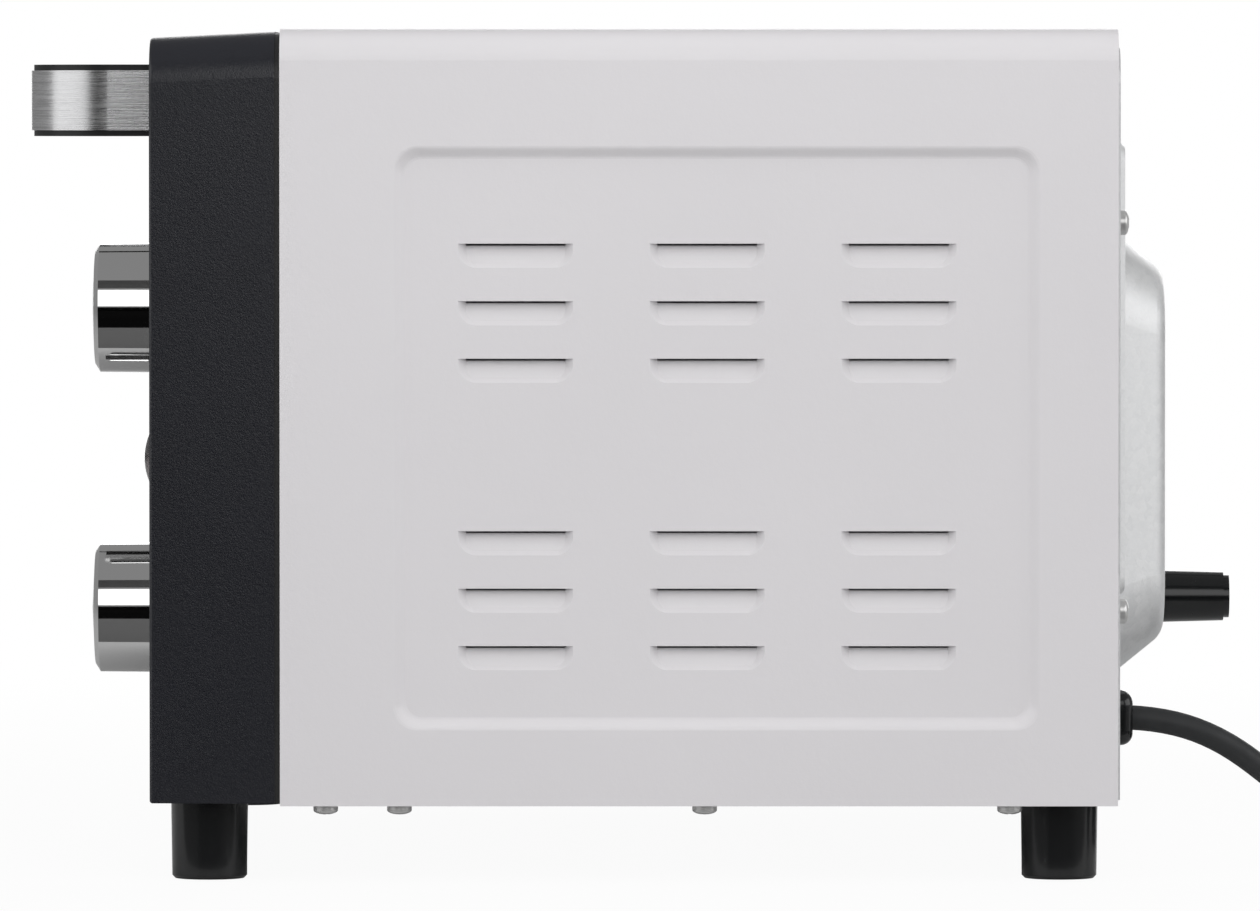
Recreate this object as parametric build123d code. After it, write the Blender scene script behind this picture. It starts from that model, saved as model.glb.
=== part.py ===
from build123d import *
from math import cos, degrees, hypot, pi, radians, sin, tan
import os

os.makedirs("parts", exist_ok=True)

# A mini oven, in millimetres. X runs across its front with the controls on the right (+X),
# Y runs towards its back and Z up. The origin is on the surface that the feet stand on,
# under the middle of the oven.

# The body
shell_width = 460.0
shell_depth = 277.0
shell_height = 256.8
foot_height = 26.0
sheet = 0.8  # every sheet-steel piece
shell_corner = 10.5
hem_width = 11.0
rear_flange = 12.0
front_flange = 6.0

# The pressed field and the louvres in each side of the shell
field_size = (213.8, 193.0)
field_middle = (144.3, 120.8)  # behind the shell's front and above its hem
field_depth = 2.0
field_slope = 4.2
field_corner = 8.0
louvre_width = 38.0
louvre_drop = 8.0
louvre_depth = 3.0
louvre_slope = 3.0  # how far its sides run in over its depth
louvre_corner = 6.0
louvre_slit = (33.0, 0.7)  # width and height of the gap at its top edge
louvre_column_pitch = 63.3
louvre_row_pitch = 19.0
louvre_rows = (-3.5, -2.5, -1.5, 1.5, 2.5, 3.5)
louvre_middle = (141.2, 118.6)

# The front frame and the plate behind it
frame_depth = 41.4
frame_wall = 3.0
frame_corner = 15.0
frame_drop_front = 2.9  # below the shell's top, and inside its sides
frame_drop_back = 0.9
front_plate_thick = 1.8
front_plate_drop = 1.4
control_width = 102.0  # from the door's gap to the shell's side
post_width = 13.0  # at the left of the door, from the shell's side

# The door
door_thick = 24.0
door_gap = 0.6
door_bottom = 46.0
door_wall = 3.0
door_top_drop = 3.0  # below the shell's top
door_travel = 86.0  # degrees
window_side = 30.0  # from the door's edge to its window
window_foot = 32.0
window_head = 12.0  # from the window up to the handle
glass_thick = 4.0
glass_overlap = 8.0
door_screw_inset = 15.0
hinge_pin_radius = 3.0
hinge_pin_in_door = 9.5

# The handle
handle_reach = 46.0
handle_height = 24.4
handle_drop = 11.3  # below the shell's top
handle_inset = 17.4  # from the door's edge
handle_bend = 27.0
handle_thick = 7.8
handle_edge = 2.0  # the black rim above and below the strip
strip_thick = 1.2
strip_proud = 0.8

# The cavity
cavity_left_inset = 17.0  # from the shell's side
cavity_right_inset = 12.0  # from the control box's side
cavity_floor = 31.8
cavity_roof_gap = 20.0  # below the shell's top
cavity_depth = 255.5  # from the front plate to the back wall
cavity_lip = 8.0
cavity_ledge = 12.0
pizza_bulge = (250.0, 110.0)
pizza_bulge_depth = 20.0
pizza_bulge_height = 146.0
element_radius = 3.3
element_places = (65.0, 195.0)  # from the front plate
lower_element_height = 62.0
upper_element_drop = 22.0  # below the cavity's top
element_pin_reach = 11.0
insulator_radius = 5.0
insulator_flange = 3.0

# The shelf runners, the rack and the trays
runner_heights = (80.0, 130.0, 180.0)
runner_reach = 10.0
runner_clear = 4.0
runner_ends = (8.0, 12.0)  # short of the cavity's front and back
rack_level = 1  # which of the runner heights the rack is in
rack_wire = 2.5
rack_bar = 1.5
rack_side_gap = 1.2
rack_bars = 13
rack_ends = (7.5, 22.0)
rack_corner = 10.0
rack_pull = 1.0  # millimetres for each degree that the door opens
tray_size = (260.0, 200.0)
tray_height = 20.0
tray_draft = 6.0
tray_rim = 6.0
crumb_tray_width = 299.0
crumb_tray_lip = 5.0
crumb_tray_gap = 0.3
crumb_slot_height = 11.0
crumb_slot_floor = 30.5
crumb_front_thick = 12.0
crumb_travel = 170.0

# The controls
control_inset = 52.0  # from the shell's side to the knobs' axis
knob_heights = (88.9, 189.2)
lamp_height = 139.0
knob_radius = 21.7
knob_reach = 21.0
knob_gap = 0.6
knob_chamfer = (2.8, 1.6)  # along the radius and along the axis
knob_dome = 1.2
knob_wall = 2.5
knob_hub_radius = 7.0
knob_slot = (2.4, 1.0)  # width and depth
knob_slot_short = 5.1  # ends this far behind the knob's face
thermostat_mark = -49.4  # the slot's place in degrees, anticlockwise from +X seen from the front
timer_mark = 59.5
shaft_radius = 3.0
shaft_fit = 0.05
bushing_radius = 4.8
bushing_hole = 5.0
lens_radius = 9.9
lens_reach = 3.6
lens_dome = 21.0
bezel_radius = 12.8
bezel_reach = 1.0

# The back
panel_side_inset = 4.0
panel_top_inset = 6.0
panel_corner = 12.0
raised_height = 2.05
raised_slope = 2.1
raised_side_inset = 15.0
raised_bottom = 93.6
raised_top = 245.1
bulge_base = (358.0, 150.0)
bulge_middle = 139.7
bulge_height = 17.8
bulge_slope = 14.0
bulge_corner = 30.0
bulge_edge = 9.0
standoff_height = 85.1
standoff_length = 27.7
standoff_radii = (9.2, 8.55)  # after its neck and at its end
standoff_neck = (5.6, 3.0)  # radius and length
cap_radius = 7.5
cap_thick = 2.0
rear_screw_heights = (89.4, 218.0)

# The base
base_field_depth = 2.5
base_field_ends = (28.0, 31.5)  # from the shell's front and back
base_field_side = 30.0
base_screws_from_front = (15.0, 39.4, 140.4, 241.3)

# Feet
foot_inset = 25.0  # from the shell's side to a foot's middle
foot_radii = (12.45, 12.8)  # at the bottom and at the top
foot_edge = 1.0
front_foot_from_face = 19.1
rear_foot_from_back = 18.6
foot_recess = 14.0

# Screws
screw_radius = 2.0
head_radius = 4.1
head_height = 3.0
hole_fit = 0.1

# The mains lead
cord_radius = 4.2
gland_size = 18.4
gland_reach = 6.4
gland_edge = 4.0
gland_neck = 6.9
gland_height = 51.6
coil_pitch = 8.9
coil_half_turns = 3  # in each layer, beside the half turn that climbs
coil_first_radius = 50.0
plug_radius = 18.5
pin_radius = 2.4
pin_length = 19.0
pin_apart = 19.0

# Planes and edges that the pieces share
total_depth = handle_reach + frame_depth + front_plate_thick + shell_depth
total_depth += sheet + bulge_height + standoff_length + cap_thick
face = -total_depth / 2 + handle_reach
frame_back = face + frame_depth
shell_front = frame_back + front_plate_thick
shell_back = shell_front + shell_depth
shell_half = shell_width / 2
base_under = foot_height
hem_under = foot_height - sheet
shell_top = hem_under + shell_height
panel_face = shell_back + sheet
bulge_face = panel_face + bulge_height
door_left = -shell_half + post_width + door_gap
door_right = shell_half - control_width - door_gap
door_back = face + door_thick
door_top = shell_top - door_top_drop
hinge_y = face + door_thick / 2
hinge_z = door_bottom + door_thick / 2
handle_top = shell_top - handle_drop
handle_bottom = handle_top - handle_height
ring_front = door_back + door_gap
cavity_left = -shell_half + cavity_left_inset
cavity_right = shell_half - control_width - cavity_right_inset
cavity_width = cavity_right - cavity_left
cavity_middle = (cavity_left + cavity_right) / 2
cavity_back = shell_front + cavity_depth
cavity_top = shell_top - cavity_roof_gap
control_x = shell_half - control_inset
control_left = shell_half - control_width
rack_z = runner_heights[rack_level]


def block(x, y, z):
    """A box between two limits on each axis."""
    middle = Pos((x[0] + x[1]) / 2, (y[0] + y[1]) / 2, (z[0] + z[1]) / 2)
    return middle * Box(x[1] - x[0], y[1] - y[0], z[1] - z[0])


def rod(start, end, radius, end_radius=None):
    """A round bar, or a cone, from one point to another."""
    along = Vector(*end) - Vector(*start)
    low = (Align.CENTER, Align.CENTER, Align.MIN)
    if end_radius is None:
        shape = Cylinder(radius, along.length, align=low)
    else:
        shape = Cone(radius, end_radius, along.length, align=low)
    return Plane(origin=start, z_dir=along) * shape


def upright(y, x=0.0, z=0.0):
    """An upright plane across the oven, with X to the right and Z up."""
    return Plane(origin=(x, y, z), x_dir=(1, 0, 0), z_dir=(0, -1, 0))


def slab(outline, front, back):
    """An outline drawn in X and Z, made solid from front to back."""
    return extrude(upright(back) * outline, amount=back - front)


def arch(half_width, bottom, top, corner):
    """An upright rectangle about X = 0 whose two top corners are round."""
    outline = Pos(0, (bottom + top) / 2) * Rectangle(2 * half_width, top - bottom)
    return fillet(outline.vertices().sort_by(Axis.Y)[-2:], corner)


def pressing(wide_plane, narrow_plane, size, slope, corner):
    """A flat-topped shape with sloping walls, as a press leaves it."""
    wide = wide_plane * RectangleRounded(*size, corner)
    narrow_size = (size[0] - 2 * slope, size[1] - 2 * slope)
    narrow = narrow_plane * RectangleRounded(*narrow_size, corner - 0.6 * slope)
    return loft([wide, narrow], ruled=True)


def soft_pressing(wide_plane, narrow_plane, size, slope, corner):
    """A pressing whose walls run in and out of the sheet in a soft S."""
    depth = (narrow_plane.origin - wide_plane.origin).length
    steps = 6
    sections = []
    for step in range(steps + 1):
        share = step / steps
        inset = slope * share
        fall = depth * share * share * (3 - 2 * share)
        outline = RectangleRounded(size[0] - 2 * inset, size[1] - 2 * inset, corner - 0.6 * inset)
        sections.append(wide_plane.offset(-fall) * outline)
    return loft(sections, ruled=True)


def turned(points, origin, axis):
    """A solid of revolution from (radius, distance along the axis) points."""
    outline = make_face(Polyline(*points, close=True))
    side = Plane.XZ * outline
    return Plane(origin=origin, z_dir=axis) * revolve(side, Axis.Z)


def pan_screw(seat, along, length):
    """A pan-head screw whose head stands on the seat and whose shank goes the other way."""
    edge = 0.35 * head_radius
    outline = [
        (0, head_height),
        (head_radius - edge, head_height),
        (head_radius, head_height - edge),
        (head_radius, 0),
        (screw_radius, 0),
        (screw_radius, -length),
        (0, -length),
    ]
    return turned(outline, seat, along)


def both_sides(shape):
    """A shape and its mirror image on the other side of the oven."""
    return [shape, mirror(shape, about=Plane.YZ)]


def save(node, shapes):
    """Writes a node's solids, one piece or a group of like pieces."""
    pieces = shapes if isinstance(shapes, list) else [shapes]
    solids = [solid for piece in pieces for solid in piece.solids()]
    export_step(Compound(children=solids) if len(solids) > 1 else solids[0], f"parts/{node}.step")


# Where the screws and feet go
foot_x = shell_half - foot_inset
front_foot_y = face + front_foot_from_face
rear_foot_y = shell_back - rear_foot_from_back
foot_places = [(x, y) for y in (front_foot_y, rear_foot_y) for x in (-foot_x, foot_x)]
foot_screw_top = base_under + 12.0
hem_screw_x = shell_half - hem_width / 2
base_screw_places = [
    (side * hem_screw_x, shell_front + y) for y in base_screws_from_front for side in (-1, 1)
]
rear_screw_x = shell_half - rear_flange / 2 - 2.0
rear_screw_places = [(side * rear_screw_x, z) for z in rear_screw_heights for side in (-1, 1)]
rear_screw_places += [(x, shell_top - rear_flange + 2.5) for x in (-120.0, 120.0)]
rear_screw_places += [(x, base_under + 7.0) for x in (-120.0, 120.0)]
door_screw_places = [
    (x, z)
    for x in (door_left + door_screw_inset, door_right - door_screw_inset)
    for z in (door_bottom + 18.0, (door_bottom + door_top) / 2, door_top - 38.0)
]


# The wrap shell: one sheet bent over the top and both sides
def louvre(grow):
    """A scoop pressed in below a straight slot, at the origin, going into -X; grow adds the sheet."""
    depth = louvre_depth + grow
    drop = louvre_drop + grow
    side = [(0, 0), (-depth, 0), (-0.4 * depth, -0.82 * drop), (0, -drop)]
    wedge = Plane.XZ * make_face(Polyline(*side, close=True))
    width = louvre_width + 2 * grow
    scoop = pressing(
        Plane.YZ,
        Plane.YZ.offset(-depth),
        (width, 2 * drop),
        louvre_slope * depth / louvre_depth,
        louvre_corner + grow,
    )
    return extrude(wedge, amount=width / 2, both=True) & scoop


def louvre_gap():
    """The slit between the scoop's top edge and the sheet above it."""
    half = louvre_slit[0] / 2
    depth = louvre_depth + 2 * sheet
    return block((-depth, 0.1), (-half, half), (-louvre_slit[1], 0))


def louvre_places():
    """The middle of each slot on the right-hand side, on the pressed field."""
    for column in (-1, 0, 1):
        for row in louvre_rows:
            y = shell_front + louvre_middle[0] + column * louvre_column_pitch
            z = base_under + louvre_middle[1] + row * louvre_row_pitch
            yield Pos(shell_half - field_depth, y, z)


def side_field(x, grow=0.0):
    """The pressed field of the right-hand side as a solid that starts at x and goes inwards."""
    y = shell_front + field_middle[0]
    z = base_under + field_middle[1]
    places = [
        Plane(origin=(at, y, z), x_dir=(0, 1, 0), z_dir=(1, 0, 0)) for at in (x, x - field_depth)
    ]
    size = (field_size[0] + 2 * grow, field_size[1] + 2 * grow)
    return soft_pressing(*places, size, field_slope, field_corner + grow)


def wrap_shell():
    body = slab(arch(shell_half, hem_under, shell_top, shell_corner), shell_front, shell_back)
    body -= slab(
        arch(shell_half - sheet, base_under, shell_top - sheet, shell_corner - sheet),
        shell_front + sheet,
        shell_back - sheet,
    )
    for flange, front, back in (
        (front_flange, shell_front, shell_front + sheet),
        (rear_flange, shell_back - sheet, shell_back),
    ):
        opening = arch(shell_half - flange, hem_under, shell_top - flange, shell_corner / 2)
        body -= slab(opening, front, back)
    under = shell_half - hem_width
    body -= block((-under, under), (shell_front, shell_back), (hem_under, base_under))
    body += both_sides(side_field(shell_half - sheet, 0.5))
    scoops = [place * louvre(sheet) for place in louvre_places()]
    body += [half for scoop in scoops for half in both_sides(scoop)]
    body -= both_sides(side_field(shell_half))
    pockets = [place * louvre(0) for place in louvre_places()]
    body -= [half for pocket in pockets for half in both_sides(pocket)]
    slits = [place * louvre_gap() for place in louvre_places()]
    body -= [half for slit in slits for half in both_sides(slit)]
    body -= [
        rod((x, y, hem_under), (x, y, base_under), screw_radius + hole_fit)
        for x, y in base_screw_places
    ]
    body -= [
        rod((x, shell_back - sheet, z), (x, shell_back, z), screw_radius + hole_fit)
        for x, z in rear_screw_places
    ]
    return body


# The front frame: a moulding with the control box at its right
def frame_outline(drop, corner_cut=0.0):
    """The frame's outer edge at a drop below the shell's top and inside its sides."""
    top = shell_top - drop
    return arch(shell_half - drop, base_under + corner_cut, top, frame_corner - corner_cut)


def front_frame():
    outline_front = upright(face) * frame_outline(frame_drop_front)
    outline_back = upright(frame_back) * frame_outline(frame_drop_back)
    body = loft([outline_back, outline_front], ruled=True)
    body = fillet(body.edges().group_by(Axis.Y)[0].filter_by(Axis.Z, reverse=True), 1.0)
    rail_top = door_bottom - door_gap
    recess_x = (door_left - door_gap, door_right + door_gap)
    body -= block(recess_x, (face - 1, ring_front), (rail_top, shell_top))
    window_x = (cavity_left - 1, cavity_right + 1)
    body -= block(window_x, (ring_front - 1, frame_back), (rail_top, cavity_top + 1))
    hollow_drop = frame_drop_front + frame_wall
    hollow = slab(frame_outline(hollow_drop, frame_wall), face + frame_wall, frame_back)
    box_x = (control_left + frame_wall, shell_half)
    body -= hollow & block(box_x, (face, frame_back), (base_under, shell_top))
    post_x = (-shell_half, recess_x[0] - frame_wall)
    body -= hollow & block(post_x, (face, frame_back), (door_bottom + 2 * door_thick, shell_top))
    rail_x = (window_x[0], window_x[1])
    rail_z = (cavity_top + 1 + frame_wall, shell_top)
    rail = hollow & block(rail_x, (ring_front + frame_wall, frame_back), rail_z)
    body -= rail
    boss_x = (control_left + frame_wall, control_left + 14.0)
    boss_reach = 3 * hinge_pin_radius
    body += block(
        boss_x,
        (hinge_y - boss_reach, hinge_y + boss_reach),
        (hinge_z - boss_reach, hinge_z + boss_reach),
    )
    floor = base_under + frame_wall
    body += rod((foot_x, front_foot_y, floor), (foot_x, front_foot_y, foot_screw_top + 2), 5.0)
    body -= crumb_slot()
    body -= [pin_hole(place, hinge_pin_radius) for place in pin_places()]
    body -= [
        rod((x, front_foot_y, base_under), (x, front_foot_y, foot_screw_top), screw_radius)
        for x in (-foot_x, foot_x)
    ]
    for z in knob_heights:
        through = [(control_x, y, z) for y in (face, face + frame_wall)]
        body -= rod(*through, bushing_hole)
    through = [(control_x, y, lamp_height) for y in (face, face + frame_wall)]
    body -= rod(*through, lens_radius + 0.2)
    return body


def crumb_slot():
    """The slot through the frame's bottom rail that the crumb tray slides in."""
    half = crumb_tray_width / 2 + 1.0
    slot_z = (crumb_slot_floor, crumb_slot_floor + crumb_slot_height)
    return block((cavity_middle - half, cavity_middle + half), (face - 1, frame_back), slot_z)


def front_plate():
    body = slab(
        arch(shell_half - front_plate_drop, base_under, shell_top - front_plate_drop, frame_corner),
        frame_back,
        shell_front,
    )
    depth = (frame_back, shell_front)
    window_z = (crumb_slot_floor + crumb_slot_height, cavity_top)
    body -= block((cavity_left, cavity_right), depth, window_z)
    body -= crumb_slot_through(depth)
    control_x_range = (partition_x() - 2.0, shell_half - rear_flange)
    body -= block(control_x_range, depth, (base_under + rear_flange, shell_top - rear_flange))
    return body


def crumb_slot_through(depth):
    """The same slot through the front plate, open at its top into the cavity's window."""
    half = crumb_tray_width / 2 + 1.0
    slot_z = (crumb_slot_floor, crumb_slot_floor + crumb_slot_height)
    return block((cavity_middle - half, cavity_middle + half), depth, slot_z)


def partition_x():
    """The partition stands clear of the elements' pins."""
    return cavity_right + sheet + element_pin_reach + 8.0


# The hinge pins, fixed in the frame and running in the door
def pin_places():
    left = (door_left - door_gap - 8.0, door_left + hinge_pin_in_door)
    right = (door_right - hinge_pin_in_door, control_left + 13.0)
    return [left, right]


def pin_hole(ends, radius):
    return rod((ends[0], hinge_y, hinge_z), (ends[1], hinge_y, hinge_z), radius)


def hinge_pins():
    return [pin_hole(ends, hinge_pin_radius) for ends in pin_places()]


# The base plate, with its pressed field and its turned-up back edge
def base_plate():
    side = shell_half - sheet - 0.6
    front = shell_front + sheet + 0.4
    body = block((-side, side), (front, shell_back - sheet - 0.2), (base_under, base_under + sheet))
    inner = shell_half - rear_flange - 0.5
    body += block((-inner, inner), (front, shell_back), (base_under, base_under + sheet))
    body += block((-inner, inner), (shell_back - sheet, shell_back), (base_under, base_under + 12.0))
    field_y = (shell_front + base_field_ends[0], shell_back - base_field_ends[1])
    size = (2 * (shell_half - base_field_side), field_y[1] - field_y[0])
    middle = Pos(0, (field_y[0] + field_y[1]) / 2)
    low = [Plane(origin=(0, 0, base_under - z)) * middle for z in (0, base_field_depth)]
    high = [Plane(origin=(0, 0, base_under + sheet - z)) * middle for z in (0, base_field_depth)]
    body += pressing_at(low, size)
    body -= pressing_at(high, (size[0] - 1, size[1] - 1))
    slots = [
        Pos(column * 60.0, (field_y[0] + field_y[1]) / 2 + row * 14.0, base_under)
        * extrude(SlotOverall(34.0, 4.0), amount=2 * base_field_depth, both=True)
        for column in (-2, -1, 0, 1, 2)
        for row in (-5, -4, -3, 3, 4, 5)
    ]
    body -= slots
    body -= [
        rod((x, y, base_under), (x, y, base_under + sheet), screw_radius)
        for x, y in base_screw_places
    ]
    body -= [
        rod((x, rear_foot_y, base_under), (x, rear_foot_y, base_under + sheet), screw_radius)
        for x in (-foot_x, foot_x)
    ]
    body -= [
        rod((x, shell_back - sheet, z), (x, shell_back, z), screw_radius)
        for x, z in rear_screw_places
        if z < base_under + 12.0
    ]
    return body


def pressing_at(places, size):
    """The base plate's pressed field between two level places."""
    wide, narrow = (place * RectangleRounded(*shape, 12.0) for place, shape in zip(
        places, (size, (size[0] - 2 * base_field_depth, size[1] - 2 * base_field_depth))
    ))
    return loft([wide, narrow], ruled=True)


# The back panel: galvanised, with a raised field and a deep bulge
def back_panel():
    half = shell_half - panel_side_inset
    rim = slab(
        arch(half, base_under + 1.0, shell_top - panel_top_inset, panel_corner),
        shell_back,
        panel_face,
    )
    outside = panel_pressings(0.0)
    inside = panel_pressings(sheet)
    body = rim + outside
    body -= inside
    body -= [
        rod((x, shell_back, z), (x, panel_face, z), screw_radius) for x, z in rear_screw_places
    ]
    body -= rod(
        (gland_x(), shell_back, gland_height), (gland_x(), panel_face, gland_height), gland_neck + 0.1
    )
    body -= rod((0, bulge_face - sheet, standoff_height), (0, bulge_face, standoff_height), screw_radius)
    vents = [
        Pos(shell_half - raised_side_inset - 20.0, 0, 118.0 + 12.0 * row)
        * extrude(upright(panel_face + 5.0) * SlotOverall(22.0, 4.0), amount=10.0)
        for row in range(9)
    ]
    body -= vents
    return body


def panel_pressings(inwards):
    """The raised field and the bulge, whole or smaller by the sheet."""
    base = panel_face - inwards - 0.01
    grow = 0.7 * inwards
    raised_z = (raised_bottom, raised_top)
    raised_half = shell_half - raised_side_inset
    raised_size = (2 * (raised_half - grow), raised_z[1] - raised_z[0] - 2 * grow)
    raised_middle = (raised_z[0] + raised_z[1]) / 2
    raised = pressing(
        upright(base, 0, raised_middle),
        upright(panel_face + raised_height - inwards, 0, raised_middle),
        raised_size,
        raised_slope,
        6.0,
    )
    bulge_size = (bulge_base[0] - 2 * grow, bulge_base[1] - 2 * grow)
    bulge = pressing(
        upright(base, 0, bulge_middle),
        upright(bulge_face - inwards, 0, bulge_middle),
        bulge_size,
        bulge_slope,
        bulge_corner,
    )
    bulge = fillet(bulge.edges().group_by(Axis.Y)[-1], bulge_edge - inwards)
    return raised + bulge


def gland_x():
    return control_x - 8.0


# The wall standoff, the screw that runs down it into the panel, and the cap over the screw
def wall_standoff():
    neck_radius, neck_length = standoff_neck
    seat = standoff_length - head_height
    outline = [
        (screw_radius, 0),
        (neck_radius, 0),
        (neck_radius, neck_length),
        (standoff_radii[0], neck_length),
        (standoff_radii[1], standoff_length),
        (head_radius + hole_fit, standoff_length),
        (head_radius + hole_fit, seat),
        (screw_radius, seat),
    ]
    return turned(outline, (0, bulge_face, standoff_height), (0, 1, 0))


def standoff_screw():
    seat = standoff_length - head_height
    return pan_screw((0, bulge_face + seat, standoff_height), (0, 1, 0), seat + sheet + 3.0)


def standoff_cap():
    start = bulge_face + standoff_length
    return rod((0, start, standoff_height), (0, start + cap_thick, standoff_height), cap_radius)


# Feet
def foot(x, y):
    outline = [
        (foot_recess_radius(), 0),
        (foot_radii[0] - foot_edge, 0),
        (foot_radii[0], foot_edge),
        (foot_radii[1], foot_height),
        (screw_radius + hole_fit, foot_height),
        (screw_radius + hole_fit, foot_recess),
        (foot_recess_radius(), foot_recess),
    ]
    return turned(outline, (x, y, 0), (0, 0, 1))


def foot_recess_radius():
    return head_radius + 1.4


def foot_screws():
    length = foot_screw_top - foot_recess
    return [pan_screw((x, y, foot_recess), (0, 0, -1), length) for x, y in foot_places]


# The screws in the hem and in the back panel
def base_screws():
    return [pan_screw((x, y, hem_under), (0, 0, -1), 7.0) for x, y in base_screw_places]


def rear_screws():
    return [pan_screw((x, panel_face, z), (0, 1, 0), 7.0) for x, z in rear_screw_places]


# The cavity
cavity_outer_x = (cavity_left - sheet, cavity_right + sheet)
cavity_outer_z = (cavity_floor - sheet, cavity_top + sheet)


def cavity_rear():
    """The cavity's back wall: a sheet with a pressed bulge."""
    body = block(cavity_outer_x, (cavity_back, cavity_back + sheet), cavity_outer_z)
    bulge_planes = [
        upright(y, cavity_middle, pizza_bulge_height)
        for y in (cavity_back, cavity_back + sheet + pizza_bulge_depth)
    ]
    body += pressing(*bulge_planes, pizza_bulge, 12.0, 20.0)
    inner_planes = [
        upright(y, cavity_middle, pizza_bulge_height)
        for y in (cavity_back, cavity_back + pizza_bulge_depth)
    ]
    inner_size = (pizza_bulge[0] - 2 * sheet, pizza_bulge[1] - 2 * sheet)
    return body - pressing(*inner_planes, inner_size, 12.0, 20.0)


def cavity_liner():
    """The cavity's sides and roof, with a lip round its mouth and ledges at its foot."""
    outer_x, outer_z = cavity_outer_x, cavity_outer_z
    body = block(outer_x, (shell_front, cavity_back), outer_z)
    lip_x = (outer_x[0] - cavity_lip, outer_x[1] + cavity_lip)
    lip_z = (outer_z[0], outer_z[1] + cavity_lip)
    body += block(lip_x, (shell_front, shell_front + sheet), lip_z)
    body -= block((cavity_left, cavity_right), (shell_front, cavity_back), (cavity_floor, cavity_top))
    floor_x = (cavity_left + cavity_ledge, cavity_right - cavity_ledge)
    floor_y = (shell_front, cavity_back - cavity_ledge)
    body -= block(floor_x, floor_y, (outer_z[0], cavity_floor))
    body -= [
        rod((side - 2 * sheet, y, z), (side + 2 * sheet, y, z), insulator_radius + hole_fit)
        for y, z in element_lines()
        for side in (cavity_left, cavity_right)
    ]
    body -= rod(
        (cavity_right - 1.0, bulb_place()[1], bulb_place()[2]),
        (cavity_right + 2.0, bulb_place()[1], bulb_place()[2]),
        1.3,
    )
    return body


def element_lines():
    """Where the elements run across the cavity, lower ones first."""
    return [
        (shell_front + y, z)
        for z in (lower_element_height, cavity_top - upper_element_drop)
        for y in element_places
    ]


def element(y, z):
    """A sheathed heating rod across the cavity, with a thinner pin at each end."""
    sheath_left = cavity_left - sheet - insulator_flange
    sheath_right = cavity_right + sheet + insulator_flange
    body = rod((sheath_left, y, z), (sheath_right, y, z), element_radius)
    pins = (cavity_left - sheet - element_pin_reach, cavity_right + sheet + element_pin_reach)
    body += rod((pins[0] + 4.0, y, z), (pins[1], y, z), 1.5)
    return body


def insulator(y, z, wall, outwards):
    """A ceramic bush in the liner's wall, with its flange outside."""
    start = wall - outwards * 4.0
    seat = wall + outwards * sheet
    end = seat + outwards * insulator_flange
    body = rod((start, y, z), (end, y, z), insulator_radius)
    body += rod((seat, y, z), (end, y, z), insulator_radius + 2.0)
    return body - rod((start, y, z), (end, y, z), element_radius + hole_fit)


def element_insulators():
    walls = ((cavity_left, -1), (cavity_right, 1))
    return [insulator(y, z, *wall) for y, z in element_lines() for wall in walls]


def shelf_runner(outwards):
    """A pressed strip against the liner's wall, with two ledges for each shelf height."""
    wall = cavity_middle + outwards * cavity_width / 2
    y = (shell_front + runner_ends[0], cavity_back - runner_ends[1])
    inner = wall - outwards * runner_reach
    skin = tuple(sorted((wall, wall - outwards * sheet)))
    reach = tuple(sorted((wall, inner)))
    bottom = runner_heights[0] - rack_wire - 4.0
    top = runner_heights[-1] + rack_wire + runner_clear + 4.0
    body = block(skin, y, (bottom, top))
    for height in runner_heights:
        under = height - rack_wire - 0.3
        over = height + rack_wire + runner_clear
        body += block(reach, y, (under - sheet, under))
        body += block(reach, y, (over, over + sheet))
    return body


def partition():
    x = partition_x()
    y = (shell_front + sheet + 0.4, shell_back - sheet - 2.0)
    z = (base_under + sheet, shell_top - sheet - 1.0)
    body = block((x, x + sheet), y, z) + block((x, x + 9.0), y, (z[0], z[0] + sheet))
    bulb_y, bulb_z = bulb_place()[1:]
    return body - rod((x, bulb_y, bulb_z), (x + sheet, bulb_y, bulb_z), 1.3)


# What slides in and out of the cavity
def wire_rack():
    half_x = cavity_width / 2 - sheet - rack_side_gap - rack_wire
    y = (shell_front + rack_ends[0], cavity_back - rack_ends[1])
    corners = [
        (cavity_middle - half_x, y[0], rack_z),
        (cavity_middle + half_x, y[0], rack_z),
        (cavity_middle + half_x, y[1], rack_z),
        (cavity_middle - half_x, y[1], rack_z),
    ]
    loop = FilletPolyline(*corners, radius=rack_corner, close=True)
    start = Plane(origin=loop @ 0, z_dir=loop % 0)
    body = sweep(start * Circle(rack_wire), path=loop)
    step = 2 * half_x / (rack_bars + 1)
    bars = [
        rod((corners[0][0] + step * n, y[0], rack_z), (corners[0][0] + step * n, y[1], rack_z), rack_bar)
        for n in range(1, rack_bars + 1)
    ]
    middle_y = (y[0] + y[1]) / 2
    under = rack_z - rack_wire + rack_bar
    brace = rod((corners[0][0], middle_y, under), (corners[1][0], middle_y, under), rack_bar)
    return body + bars + brace


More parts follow.
